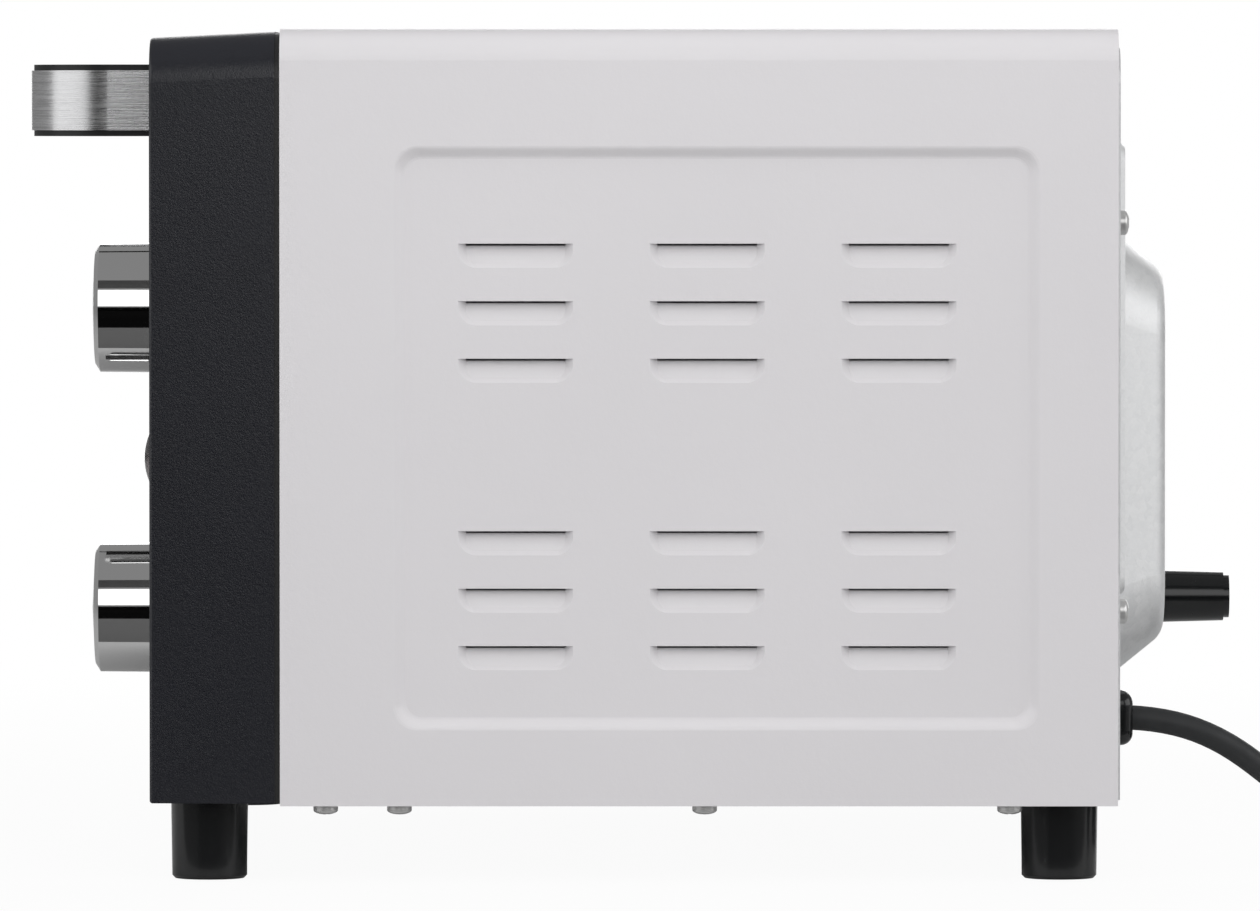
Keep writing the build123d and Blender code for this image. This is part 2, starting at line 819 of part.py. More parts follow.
def baking_tray():
    bottom = rack_z + rack_bar + 0.3
    y = (shell_front + rack_ends[0] + cavity_back - rack_ends[1]) / 2
    place = Pos(cavity_middle, y)
    flat = (tray_size[0] - 2 * tray_rim, tray_size[1] - 2 * tray_rim)
    foot_size = (flat[0] - 2 * tray_draft, flat[1] - 2 * tray_draft)
    low = Plane(origin=(0, 0, bottom)) * place
    high = Plane(origin=(0, 0, bottom + tray_height)) * place
    outside = loft(
        [low * RectangleRounded(*foot_size, 12.0), high * RectangleRounded(*flat, 16.0)], ruled=True
    )
    rim_low = Plane(origin=(0, 0, bottom + tray_height - sheet)) * place
    outside += extrude(rim_low * RectangleRounded(*tray_size, 20.0), amount=sheet)
    inner_low = Plane(origin=(0, 0, bottom + sheet)) * place
    inner_high = Plane(origin=(0, 0, bottom + sheet + tray_height)) * place
    thin = 2 * sheet
    inside = loft(
        [
            inner_low * RectangleRounded(foot_size[0] - thin, foot_size[1] - thin, 11.2),
            inner_high * RectangleRounded(flat[0] - thin, flat[1] - thin, 15.2),
        ],
        ruled=True,
    )
    return outside - inside


def crumb_tray():
    half = crumb_tray_width / 2
    x = (cavity_middle - half, cavity_middle + half)
    y = (face + crumb_front_thick, cavity_back - 12.0)
    bottom = cavity_floor + crumb_tray_gap
    body = block(x, y, (bottom, bottom + crumb_tray_lip))
    inner_x = (x[0] + sheet, x[1] - sheet)
    inner_y = (y[0] + sheet, y[1] - sheet)
    return body - block(inner_x, inner_y, (bottom + sheet, bottom + crumb_tray_lip))


def crumb_tray_front():
    half = crumb_tray_width / 2 + 0.7
    x = (cavity_middle - half, cavity_middle + half)
    low = crumb_slot_floor + crumb_tray_gap
    high = crumb_slot_floor + crumb_slot_height - crumb_tray_gap
    body = block(x, (face, face + crumb_front_thick), (low, high))
    grip_x = (cavity_middle - 45.0, cavity_middle + 45.0)
    return body - block(grip_x, (face, face + 7.0), (low, low + 5.0))


# The door
window_x = (door_left + window_side, door_right - window_side)
window_z = (door_bottom + window_foot, handle_bottom - window_head)
glass_x = (window_x[0] - glass_overlap, window_x[1] + glass_overlap)
glass_z = (window_z[0] - glass_overlap, window_z[1] + glass_overlap)
outer_glass_y = (face + door_wall, face + door_wall + glass_thick)
inner_panel_y = (door_back - sheet, door_back)
inner_glass_y = (door_back - sheet - 3.0 - glass_thick, door_back - sheet - 3.0)


def door_frame():
    round_middle = face + door_thick / 2
    x = (door_left, door_right)
    body = block(x, (face, inner_panel_y[0]), (hinge_z, door_top))
    body += rod((x[0], round_middle, hinge_z), (x[1], round_middle, hinge_z), door_thick / 2)
    front_edges = body.edges().filter_by(Axis.X).group_by(Axis.Z)[-1].sort_by(Axis.Y)[0]
    body = fillet(front_edges, 1.5)
    body -= block(x, inner_panel_y, (hinge_z, door_top))
    hollow_x = (x[0] + door_wall, x[1] - door_wall)
    hollow_z = (hinge_z + 2 * hinge_pin_radius, door_top - door_wall)
    body -= block(hollow_x, (face + door_wall, inner_panel_y[0]), hollow_z)
    body -= block(window_x, (face, face + door_wall), window_z)
    for place in door_screw_places:
        ends = [(place[0], y, place[1]) for y in (face + door_wall, inner_panel_y[0])]
        body += rod(*ends, 4.5)
        body -= rod((place[0], inner_panel_y[0] - 12.0, place[1]), ends[1], screw_radius)
    running = hinge_pin_radius + shaft_fit
    for ends in ((x[0], x[0] + hinge_pin_in_door + 1), (x[1] - hinge_pin_in_door - 1, x[1])):
        body -= pin_hole(ends, running)
    for x_leg, z in handle_screw_places():
        body -= rod((x_leg, face, z), (x_leg, face + door_wall, z), screw_radius + hole_fit)
    return body


def door_glass(y):
    pane = Pos((glass_x[0] + glass_x[1]) / 2, (glass_z[0] + glass_z[1]) / 2)
    outline = RectangleRounded(glass_x[1] - glass_x[0], glass_z[1] - glass_z[0], 2.0)
    return slab(pane * outline, *y)


def glass_spacer():
    y = (outer_glass_y[1], inner_glass_y[0])
    ring = glass_overlap - 1.0
    inner_x = (glass_x[0] + ring, glass_x[1] - ring)
    inner_z = (glass_z[0] + ring, glass_z[1] - ring)
    return block(glass_x, y, glass_z) - block(inner_x, y, inner_z)


def door_inner_panel():
    margin = 1.0
    x = (door_left + margin, door_right - margin)
    z = (hinge_z + margin, door_top - margin)
    body = block(x, inner_panel_y, z)
    turned_x = (window_x[0] - sheet, window_x[1] + sheet)
    turned_z = (window_z[0] - sheet, window_z[1] + sheet)
    body += block(turned_x, (inner_glass_y[1], inner_panel_y[1]), turned_z)
    body -= block(window_x, (inner_glass_y[1], inner_panel_y[1]), window_z)
    body -= [
        rod((place[0], inner_panel_y[0], place[1]), (place[0], inner_panel_y[1], place[1]), screw_radius)
        for place in door_screw_places
    ]
    return body


def door_screws():
    low_head = []
    for x, z in door_screw_places:
        outline = [
            (0, 1.6),
            (2.2, 1.6),
            (3.0, 0.8),
            (3.0, 0),
            (screw_radius, 0),
            (screw_radius, -10.0),
            (0, -10.0),
        ]
        low_head.append(turned(outline, (x, door_back, z), (0, 1, 0)))
    return low_head


def rack_hook(x):
    """A flat hook on the door's inner panel that reaches over the rack's front wire."""
    wire_y = shell_front + rack_ends[0]
    finger = (wire_y + rack_wire + 1.9, wire_y + rack_wire + 3.9)
    top = rack_z + 11.0
    thick = (x - 1.0, x + 1.0)
    body = block(thick, (door_back, finger[1]), (top - 5.0, top))
    body += block(thick, finger, (rack_z - 2.0, top))
    return body + block((x - 4.0, x + 4.0), (door_back, door_back + 1.0), (top - 12.0, top + 6.0))


def rack_hooks():
    return [rack_hook(x) for x in (window_x[0] - 6.0, window_x[1] + 6.0)]


# The handle: a moulded bow with a steel strip round the outside of it
def bow(inset):
    """The bow's outline seen from above, this far inside its outer surface."""
    left = door_left + handle_inset + inset
    right = door_right - handle_inset - inset
    front = face - handle_reach + inset
    bend = handle_bend - inset
    outline = Pos((left + right) / 2, (front + face) / 2) * Rectangle(right - left, face - front)
    return fillet(outline.vertices().sort_by(Axis.Y)[:2], bend)


def bow_slab(inset, low, high):
    return extrude(Plane(origin=(0, 0, low)) * bow(inset), amount=high - low)


def handle_core():
    body = bow_slab(strip_proud, handle_bottom, handle_top)
    body -= bow_slab(handle_thick, handle_bottom, handle_top)
    groove = (handle_bottom + handle_edge, handle_top - handle_edge)
    body -= bow_slab(0, *groove) - bow_slab(strip_thick, *groove)
    for x, z in handle_screw_places():
        body -= rod((x, face - 16.0, z), (x, face, z), screw_radius)
    return body


def handle_strip():
    low = handle_bottom + handle_edge
    high = handle_top - handle_edge
    return bow_slab(0, low, high) - bow_slab(strip_thick, low, high)


def handle_screw_places():
    leg = handle_inset + (handle_thick + strip_thick) / 2
    middle = (handle_bottom + handle_top) / 2
    return [
        (x, middle + rise)
        for x in (door_left + leg, door_right - leg)
        for rise in (-6.0, 6.0)
    ]


def handle_screws():
    seat = face + door_wall
    return [pan_screw((x, seat, z), (0, 1, 0), door_wall + 14.0) for x, z in handle_screw_places()]


# The controls
def control_bracket():
    y = (face + frame_wall, face + frame_wall + 1.0)
    x = (control_left + 16.0, shell_half - 9.0)
    z = (knob_heights[0] - 30.0, knob_heights[1] + 30.0)
    body = block(x, y, z)
    for height in knob_heights:
        body -= rod((control_x, y[0], height), (control_x, y[1], height), bushing_hole)
    return body - rod((control_x, y[0], lamp_height), (control_x, y[1], lamp_height), lens_radius + 0.2)


def control_body(height, half_width, half_height, depth):
    """A switch body behind the bracket, with the bushing that its shaft turns in."""
    front = face + frame_wall + 1.0
    x = (control_x - half_width, control_x + half_width)
    z = (height - half_height, height + half_height)
    body = block(x, (front, front + depth), z)
    body += rod((control_x, face - 1.0, height), (control_x, front, height), bushing_radius)
    bore = [(control_x, y, height) for y in (face - 1.0, front + 9.0)]
    return body - rod(*bore, shaft_radius + shaft_fit)


def thermostat_body():
    return control_body(knob_heights[1], 18.0, 17.0, 22.0)


def timer_body():
    return control_body(knob_heights[0], 21.0, 20.0, 30.0)


def timer_bell():
    start = face + frame_wall + 31.0
    outline = [
        (0, 1.5),
        (15.0, 1.5),
        (18.5, 4.5),
        (18.5, 13.0),
        (19.7, 13.0),
        (19.7, 3.9),
        (15.6, 0.3),
        (4.0, 0.3),
        (4.0, 0),
        (0, 0),
    ]
    return turned(outline, (control_x, start, knob_heights[0]), (0, 1, 0))


def control_shaft(height):
    start = face - knob_reach + 5.5
    end = face + frame_wall + 9.5
    return rod((control_x, start, height), (control_x, end, height), shaft_radius)


def knob(height, mark):
    """A hollow knob with a domed face, a hub on the shaft and a slot in its rim as its mark."""
    back = face - knob_gap
    front = face - knob_reach + knob_dome
    shoulder = front + knob_chamfer[1]
    inside = knob_radius - knob_wall
    length = back - shoulder
    rim = [(inside, 0), (knob_radius, 0), (knob_radius - 0.15, length)]
    top = [(knob_radius - knob_chamfer[0], back - front), (0, back - face + knob_reach)]
    under = length - 2.5
    hollow = [(0, under), (inside - 1.0, under)]
    body = turned(rim + top + hollow, (control_x, back, height), (0, -1, 0))
    hub = [(control_x, y, height) for y in (face - 6.0, back - under)]
    body += rod(*hub, knob_hub_radius)
    body -= rod((control_x, face, height), (control_x, face - knob_reach + 5.0, height), shaft_radius)
    width, depth = knob_slot
    slot = block(
        (knob_radius - depth, knob_radius + depth),
        (face - knob_reach + knob_slot_short, back),
        (-width / 2, width / 2),
    )
    turn = Pos(control_x, 0, height) * Rot(0, -mark, 0)
    return body - turn * slot


def pilot_lens():
    back = face + frame_wall
    dome_middle = face - lens_reach + lens_dome
    body = rod((control_x, back, lamp_height), (control_x, face - lens_reach, lamp_height), lens_radius)
    return body & (Pos(control_x, dome_middle, lamp_height) * Sphere(lens_dome))


def pilot_bezel():
    ends = [(control_x, y, lamp_height) for y in (face, face - bezel_reach)]
    body = rod(*ends, bezel_radius, bezel_radius - 0.6)
    return body - rod(*ends, lens_radius + hole_fit)


def pilot_lamp():
    front = face + frame_wall + 0.3
    ends = [(control_x, y, lamp_height) for y in (front, front + 18.0)]
    body = rod(*ends, 7.5)
    tabs = [
        block(
            (control_x + side * 4.0 - 1.5, control_x + side * 4.0 + 1.5),
            (front + 18.0, front + 25.0),
            (lamp_height - 0.4, lamp_height + 0.4),
        )
        for side in (-1, 1)
    ]
    return body + tabs


def bulb_place():
    """Where the thermostat's bulb lies: inside the cavity, near its right wall."""
    return (cavity_right - 4.5, shell_front + 60.0, 215.0)


def capillary():
    """The thermostat's bulb, and the thin tube that joins it to the body through the wall."""
    x, y, z = bulb_place()
    start = face + frame_wall + 23.0
    end = (control_x - 8.0, start, knob_heights[1] + 8.0)
    radius = 1.0
    route = FilletPolyline(
        (x, y, z), (end[0], y, z), (end[0], start + 25.0, end[2]), end, radius=12.0
    )
    place = Plane(origin=route @ 0, z_dir=route % 0)
    body = sweep(place * Circle(radius), path=route)
    return body + rod((x, y - 5.0, z), (x, y + 70.0, z), 2.2)


def terminal_block():
    bottom = base_under + sheet
    y = (shell_back - base_field_ends[1] + 2.5, shell_back - 12.5)
    x = (control_x - 30.0, control_x + 6.0)
    body = block(x, y, (bottom, bottom + 15.0))
    pitch = 9.0
    bores = [
        rod((x[0] + pitch * (n + 0.5), y[0], bottom + 8.0), (x[0] + pitch * (n + 0.5), y[1], bottom + 8.0), 2.4)
        for n in range(4)
    ]
    return body - bores


# The mains lead
def cord_gland():
    out = panel_face + gland_reach
    ends = (panel_face, out)
    outline = Pos(gland_x(), gland_height) * RectangleRounded(gland_size, gland_size, 5.0)
    head = slab(outline, *ends)
    head = fillet(head.faces().sort_by(Axis.Y)[-1].edges(), gland_edge)
    through = [(gland_x(), y, gland_height) for y in (shell_back - 9.0, panel_face)]
    collar = [(gland_x(), y, gland_height) for y in (shell_back - 9.0, shell_back)]
    body = head + rod(*through, gland_neck) + rod(*collar, gland_neck + 1.6)
    bore = [(gland_x(), y, gland_height) for y in (shell_back - 9.0, out)]
    return body - rod(*bore, cord_radius)


# The lead's route: how far each point is from where it starts in the gland, and its height
cord_steps = [
    (0, 0, gland_height),
    (0, 14.0, gland_height),
    (-2.2, 35.1, 45.1),
    (-10.1, 55.6, 30.0),
    (-26.1, 71.9, 14.3),
    (-54.7, 83.9, cord_radius),
    (-87.0, 83.9, cord_radius),
]
cord_points = [(gland_x() + x, panel_face + y, z) for x, y, z in cord_steps]
coil_x, coil_y, coil_z = cord_points[-1]
plug_start = (coil_x + 67.0, coil_y + 83.0, plug_radius + 0.2)
plug_heading = Vector(0.80, -0.60, 0)


def arc_radii(points):
    """The radius of each corner of a route, as large as its two runs allow."""
    radii = []
    for before, corner, after in zip(points, points[1:], points[2:]):
        first = Vector(*corner) - Vector(*before)
        second = Vector(*after) - Vector(*corner)
        half_turn = radians(first.get_angle(second)) / 2
        radii.append(0.45 * min(first.length, second.length) / tan(half_turn))
    return radii


def tube(points):
    """A cord's tube along straight runs joined by tangent arcs."""
    radii = arc_radii(points)
    route = FilletPolyline(*points, radius=radii)
    print("cord arcs", [round(radius, 1) for radius in radii], "length", round(route.length, 1))
    place = Plane(origin=route @ 0, z_dir=route % 0)
    body = sweep(place * Circle(cord_radius), path=route)
    print("tube volume over section times length", round(body.volume / (pi * cord_radius**2 * route.length), 4))
    return body


def power_cord():
    return tube(cord_points)


def coil_arcs():
    """The coil's half turns: in on the floor, up a layer, and out again on top."""
    radii = [coil_first_radius - coil_pitch / 2 * n for n in range(coil_half_turns)]
    climb = radii[-1] - coil_pitch / 2
    steps = [(radius, 0.0) for radius in radii] + [(climb, coil_pitch)]
    steps += [(radius, 0.0) for radius in reversed(radii)]
    y, z, side = coil_y, coil_z, 1
    arcs = []
    for radius, rise in steps:
        start = (coil_x, y, z)
        end = (coil_x, y + side * 2 * radius, z + rise)
        middle = (coil_x - side * radius, y + side * radius, z + rise / 2)
        arcs.append(ThreePointArc(start, middle, end))
        y, z, side = end[1], end[2], -side
    return arcs


def cord_coil():
    arcs = coil_arcs()
    route = Wire(arcs)
    print("coil length", round(route.length, 1), "least gap to itself", round(least_gap(arcs), 2))
    place = Plane(origin=route @ 0, z_dir=route % 0)
    return sweep(place * Circle(cord_radius), path=route)


def least_gap(arcs):
    """The least gap between turns, measured on points a quarter turn or more apart."""
    per_arc = 48
    points = [arc @ (n / per_arc) for arc in arcs for n in range(per_arc)]
    apart = per_arc // 2
    gaps = [
        (points[a] - points[b]).length
        for a in range(len(points))
        for b in range(a + apart, len(points))
    ]
    return min(gaps) - 2 * cord_radius


def tail_points():
    """From the top of the coil to the plug."""
    end = coil_arcs()[-1] @ 1
    into_plug = Vector(*plug_start) - plug_heading * 14.0
    return [
        (end.X, end.Y, end.Z),
        (end.X + 16.0, end.Y, end.Z),
        (end.X + 34.0, end.Y - 4.5, end.Z + 3.0),
        (into_plug.X, into_plug.Y, plug_start[2]),
        plug_start,
    ]


def cord_tail():
    return tube(tail_points())


def plug_body():
    outline = [
        (0, 0),
        (6.0, 0),
        (7.5, 22.0),
        (12.5, 28.0),
        (13.5, 42.0),
        (plug_radius - 1.0, 47.0),
        (plug_radius, 48.5),
        (plug_radius, 64.0),
        (plug_radius - 1.0, 65.0),
        (0, 65.0),
    ]
    return turned(outline, plug_start, plug_heading)


def plug_pins():
    across = Vector(0, 0, 1).cross(plug_heading)
    pins = []
    for side in (-1, 1):
        start = Vector(*plug_start) + plug_heading * 65.0 + across * (side * pin_apart / 2)
        pins.append(rod(tuple(start), tuple(start + plug_heading * pin_length), pin_radius))
    return pins


save("wrap_shell", wrap_shell())
save("front_frame", front_frame())
save("front_plate", front_plate())
save("hinge_pins", hinge_pins())
save("base_plate", base_plate())
save("back_panel", back_panel())
save("wall_standoff", wall_standoff())
save("standoff_cap", standoff_cap())
save("standoff_screw", standoff_screw())
save("feet", [foot(x, y) for x, y in foot_places])
save("foot_screws", foot_screws())
save("base_screws", base_screws())
save("rear_screws", rear_screws())
save("cavity_liner", cavity_liner())
save("cavity_rear", cavity_rear())
save("upper_elements", [element(y, z) for y, z in element_lines()[2:]])
save("lower_elements", [element(y, z) for y, z in element_lines()[:2]])
save("element_insulators", element_insulators())
save("shelf_runners", [shelf_runner(side) for side in (-1, 1)])
save("partition", partition())
save("wire_rack", wire_rack())
save("baking_tray", baking_tray())
save("crumb_tray", crumb_tray())
save("crumb_tray_front", crumb_tray_front())
save("door_frame", door_frame())
save("door_outer_glass", door_glass(outer_glass_y))
save("door_inner_glass", door_glass(inner_glass_y))
save("glass_spacer", glass_spacer())
save("door_inner_panel", door_inner_panel())
save("door_screws", door_screws())
save("rack_hooks", rack_hooks())
save("handle_core", handle_core())
save("handle_strip", handle_strip())
save("handle_screws", handle_screws())
save("control_bracket", control_bracket())
save("thermostat_body", thermostat_body())
save("thermostat_capillary", capillary())
save("thermostat_shaft", control_shaft(knob_heights[1]))
save("thermostat_knob", knob(knob_heights[1], thermostat_mark))
save("timer_body", timer_body())
save("timer_bell", timer_bell())
save("timer_shaft", control_shaft(knob_heights[0]))
save("timer_knob", knob(knob_heights[0], timer_mark))
save("pilot_lens", pilot_lens())
save("pilot_bezel", pilot_bezel())
save("pilot_lamp", pilot_lamp())
save("terminal_block", terminal_block())
save("cord_gland", cord_gland())
save("power_cord", power_cord())
save("cord_coil", cord_coil())
save("cord_tail", cord_tail())
save("plug_body", plug_body())
save("plug_pins", plug_pins())
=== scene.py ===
from math import cos, pi, radians, sin

import bpy
import bmesh
from mathutils import Matrix, Vector


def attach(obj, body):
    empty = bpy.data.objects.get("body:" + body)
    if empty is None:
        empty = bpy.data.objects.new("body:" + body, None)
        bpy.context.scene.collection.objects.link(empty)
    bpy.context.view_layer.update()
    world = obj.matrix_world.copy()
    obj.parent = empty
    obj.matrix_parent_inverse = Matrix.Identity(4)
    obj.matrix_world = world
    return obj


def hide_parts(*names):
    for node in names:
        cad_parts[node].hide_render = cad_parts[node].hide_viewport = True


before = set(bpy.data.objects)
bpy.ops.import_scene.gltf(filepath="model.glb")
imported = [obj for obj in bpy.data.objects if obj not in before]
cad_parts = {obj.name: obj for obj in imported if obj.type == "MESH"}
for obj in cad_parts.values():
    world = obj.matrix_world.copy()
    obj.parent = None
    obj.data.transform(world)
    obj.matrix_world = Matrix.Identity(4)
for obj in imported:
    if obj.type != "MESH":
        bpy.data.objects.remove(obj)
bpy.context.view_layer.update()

# Camera
# The picture is a straight view of the controls' side through a long lens, from the height of
# the handle, so that neither the handle's underside nor the far feet show.
side_plane = 0.230
camera_distance = 3.800
camera_height = 0.255
picture_middle_y = -0.00235
tilt_down = 1.7155
camera = bpy.data.objects.new("camera", bpy.data.cameras.new("camera"))
bpy.context.collection.objects.link(camera)
camera.data.sensor_width = 36.0
camera.data.lens = 329.0
camera.location = (side_plane + camera_distance, picture_middle_y, camera_height)
camera.rotation_euler = (radians(90 - tilt_down), 0.0, radians(90))
bpy.context.scene.camera = camera


# Shell
# One sheet of 0.8 mm steel bent over the top and both sides, with pressed fields and louvres,
# and held by screws in its hem. It is powder-coated off-white, with a fine orange peel.
class Wire:
    """A socket in a node tree that works in Python expressions."""

    def __init__(self, tree, socket):
        self.tree = tree
        self.socket = socket

    def math(self, operation, *values):
        """The result of a Math node."""
        return add_node(self.tree, "ShaderNodeMath", {"operation": operation}, dict(enumerate(values)))

    def __add__(self, other):
        return self.math("ADD", self, other)

    def __radd__(self, other):
        return self.math("ADD", other, self)

    def __sub__(self, other):
        return self.math("SUBTRACT", self, other)

    def __rsub__(self, other):
        return self.math("SUBTRACT", other, self)

    def __mul__(self, other):
        return self.math("MULTIPLY", self, other)

    def __rmul__(self, other):
        return self.math("MULTIPLY", other, self)

    def __pow__(self, other):
        return self.math("POWER", self, other)


def plug_in(value, socket):
    """Links a wire to a socket, or sets the socket to a number, vector or colour."""
    if isinstance(value, Wire):
        value.tree.links.new(value.socket, socket)
    else:
        socket.default_value = value


def add_node(tree, kind, settings=None, sockets=None, out=0):
    """Adds a node with its settings and the values or wires of its sockets."""
    node = tree.nodes.new(kind)
    for name, value in (settings or {}).items():
        setattr(node, name, value)
    for name, value in (sockets or {}).items():
        plug_in(value, node.inputs[name])
    return Wire(tree, node.outputs[out])


class Finish:
    """A material, made of one shader and the nodes that vary it."""

    def __init__(self, name, **sockets):
        self.material = bpy.data.materials.new(name)
        self.material.use_nodes = True
        self.tree = self.material.node_tree
        self.shader = self.tree.nodes["Principled BSDF"]
        self.place = self.node("ShaderNodeTexCoord", out="Object")
        self.set(**sockets)

    def node(self, kind, settings=None, sockets=None, out=0):
        """Adds a node to the material."""
        return add_node(self.tree, kind, settings, sockets, out)

    def set(self, **sockets):
        """Sets the shader's sockets, with an underscore for each space in their names."""
        for name, value in sockets.items():
            plug_in(value, self.shader.inputs[name.replace("_", " ")])

    def axis(self, name):
        """The distance along X, Y or Z, in metres."""
        return self.node("ShaderNodeSeparateXYZ", None, {0: self.place}, out=name)

    def noise(self, scale, detail=2.0, stretch=(1, 1, 1)):
        """Cloudy noise about 0.5, with this many lumps to a metre."""
        spread = {0: self.place, 1: stretch}
        spot = self.node("ShaderNodeVectorMath", {"operation": "MULTIPLY"}, spread)
        return self.node("ShaderNodeTexNoise", None, {"Vector": spot, "Scale": scale, "Detail": detail})

    def cells(self, scale):
        """Crystal-like cells, each with a tone of its own, with this many to a metre."""
        spread = {"Vector": self.place, "Scale": scale}
        colours = self.node("ShaderNodeTexVoronoi", None, spread, out="Color")
        return self.node("ShaderNodeSeparateColor", None, {0: colours})

    def step(self, value, low, high):
        """A soft step from 0 at low to 1 at high."""
        ends = {"Value": value, "From Min": low, "From Max": high}
        return self.node("ShaderNodeMapRange", {"interpolation_type": "SMOOTHSTEP"}, ends)

    def mix(self, factor, first, second):
        """A colour between two others."""
        return self.node("ShaderNodeMix", {"data_type": "RGBA"}, {0: factor, 6: first, 7: second}, out=2)

    def bump(self, height, depth, strength=1.0):
        """Raises the surface by a height from 0 to 1 times a depth in metres."""
        relief = {"Strength": strength, "Distance": depth, "Height": height}
        self.set(Normal=self.node("ShaderNodeBump", None, relief))


def grey(value, warmth=0.0):
    """A grey that leans to red for a positive warmth, and to blue for a negative one."""
    return (value * (1 + warmth), value, value * (1 - warmth), 1.0)


def dress(finish, *nodes):
    """Gives carried-over nodes a finish."""
    for name in nodes:
        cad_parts[name].material_slots[0].material = finish.material


powder_coat = Finish("powder_coat", Specular_IOR_Level=0.42)
coat_cloud = powder_coat.noise(9, 3.0)
off_white = powder_coat.mix(coat_cloud, (0.700, 0.685, 0.703, 1), (0.735, 0.718, 0.737, 1))
powder_coat.set(Base_Color=off_white)
powder_coat.set(Roughness=0.30 + 0.10 * powder_coat.noise(60, 3.0))
orange_peel = 0.7 * powder_coat.noise(420, 2.0) + 0.3 * powder_coat.noise(1500, 2.0)
powder_coat.bump(orange_peel, 0.00010, 0.6)
dress(powder_coat, "wrap_shell")

# Front frame
# A moulded surround of charcoal ABS that the door closes into, with the control box on its
# right. A fine spark-eroded grain covers it. A dark painted strip parts it from the shell.
grained_plastic = Finish("grained_plastic", Specular_IOR_Level=0.8)
frame_cloud = grained_plastic.noise(25, 3.0)
charcoal = grained_plastic.mix(frame_cloud, (0.0050, 0.0056, 0.0098, 1), (0.0078, 0.0086, 0.0142, 1))
grained_plastic.set(Base_Color=charcoal)
grained_plastic.set(Roughness=0.27 + 0.12 * grained_plastic.noise(700, 2.0))
plastic_grain = 0.6 * grained_plastic.noise(1900, 3.0) + 0.4 * grained_plastic.noise(700, 2.0)
grained_plastic.bump(plastic_grain, 0.00013, 0.9)
dress(grained_plastic, "front_frame")

strip_paint = Finish("strip_paint", Specular_IOR_Level=0.5)
strip_paint.set(Base_Color=strip_paint.mix(strip_paint.noise(40), grey(0.014), grey(0.024)))
strip_paint.set(Roughness=0.34 + 0.12 * strip_paint.noise(300))
strip_paint.bump(strip_paint.noise(900, 2.0), 0.00004)
dress(strip_paint, "front_plate")

# Galvanised sheets
# The back panel, the base, the partition and the control bracket are bare galvanised steel,
# with the flat crystals that zinc grows and a faint clouding.
galvanised = Finish("galvanised", Metallic=0.55)
spangle = galvanised.cells(420)
small_spangle = galvanised.cells(1300)
zinc_tone = 0.5 * spangle + 0.3 * small_spangle + 0.2 * galvanised.noise(90, 4.0)
galvanised.set(Base_Color=galvanised.mix(zinc_tone, grey(0.78, -0.01), grey(0.90, -0.005)))
galvanised.set(Roughness=0.36 + 0.16 * zinc_tone)
galvanised.bump(0.6 * spangle + 0.4 * galvanised.noise(1200, 2.0), 0.00003)
dress(galvanised, "back_panel", "base_plate", "partition", "control_bracket")

# Feet and wall standoff
# Round mouldings of black gloss plastic: four feet screwed up into the oven, and one standoff
# with a cap that keeps the back off a wall. The lead's gland and the lamp's bezel match them.
gloss_black = Finish("gloss_black", Specular_IOR_Level=0.5, Coat_Weight=0.25, Coat_Roughness=0.08)
jet = gloss_black.mix(gloss_black.noise(60), grey(0.0032, -0.15), grey(0.0048, -0.15))
gloss_black.set(Base_Color=jet)
scuffs = gloss_black.step(gloss_black.noise(260, 4.0, (1, 1, 0.2)), 0.55, 0.75)
gloss_black.set(Roughness=0.20 + 0.10 * scuffs)
gloss_black.bump(gloss_black.noise(500, 2.0), 0.000012)
dress(gloss_black, "feet", "wall_standoff", "standoff_cap", "cord_gland", "pilot_bezel")

# Screws
# Zinc-plated pan-head screws with cross recesses: in the shell's hem, through the back panel,
# up the feet, and in the door for its inner panel and its handle.
bright_zinc = Finish("bright_zinc", Metallic=0.7)
zinc_film = bright_zinc.noise(900, 3.0)
bright_zinc.set(Base_Color=bright_zinc.mix(zinc_film, grey(0.64, -0.01), (0.80, 0.79, 0.77, 1)))
bright_zinc.set(Roughness=0.24 + 0.16 * zinc_film)
bright_zinc.bump(bright_zinc.noise(2600, 2.0), 0.00001)
dress(bright_zinc, "standoff_screw")
head_radius = 0.0041
head_height = 0.0030
shank_radius = 0.0020
slot_width = 0.0011
slot_depth = 0.0015
sharp_crease = radians(35)


def loose_parts(node):
    """The lowest and highest corners of each separate solid of a CAD node, in order of place."""
    copy = bmesh.new()
    copy.from_mesh(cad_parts[node].data)
    bmesh.ops.remove_doubles(copy, verts=copy.verts, dist=1e-6)
    waiting = set(copy.verts)
    boxes = []
    while waiting:
        front = [waiting.pop()]
        part = list(front)
        while front:
            vertex = front.pop()
            for edge in vertex.link_edges:
                other = edge.other_vert(vertex)
                if other in waiting:
                    waiting.remove(other)
                    front.append(other)
                    part.append(other)
        low = Vector(min(v.co[i] for v in part) for i in range(3))
        high = Vector(max(v.co[i] for v in part) for i in range(3))
        boxes.append((low, high))
    copy.free()
    return sorted(boxes, key=lambda box: tuple(box[0]))


def named_input(tree, name, kind="NodeSocketFloat"):
    """Adds an input to a geometry tree and gives its identifier."""
    return tree.interface.new_socket(name=name, in_out="INPUT", socket_type=kind).identifier


def new_tree(name):
    """A geometry tree with a geometry input and output."""
    tree = bpy.data.node_groups.new(name, "GeometryNodeTree")
    named_input(tree, "Geometry", "NodeSocketGeometry")
    tree.interface.new_socket(name="Geometry", in_out="OUTPUT", socket_type="NodeSocketGeometry")
    return tree


def joined(tree, *shapes):
    """Several shapes of a geometry tree as one."""
    join = tree.nodes.new("GeometryNodeJoinGeometry")
    for shape in shapes:
        plug_in(shape, join.inputs[0])
    return Wire(tree, join.outputs[0])


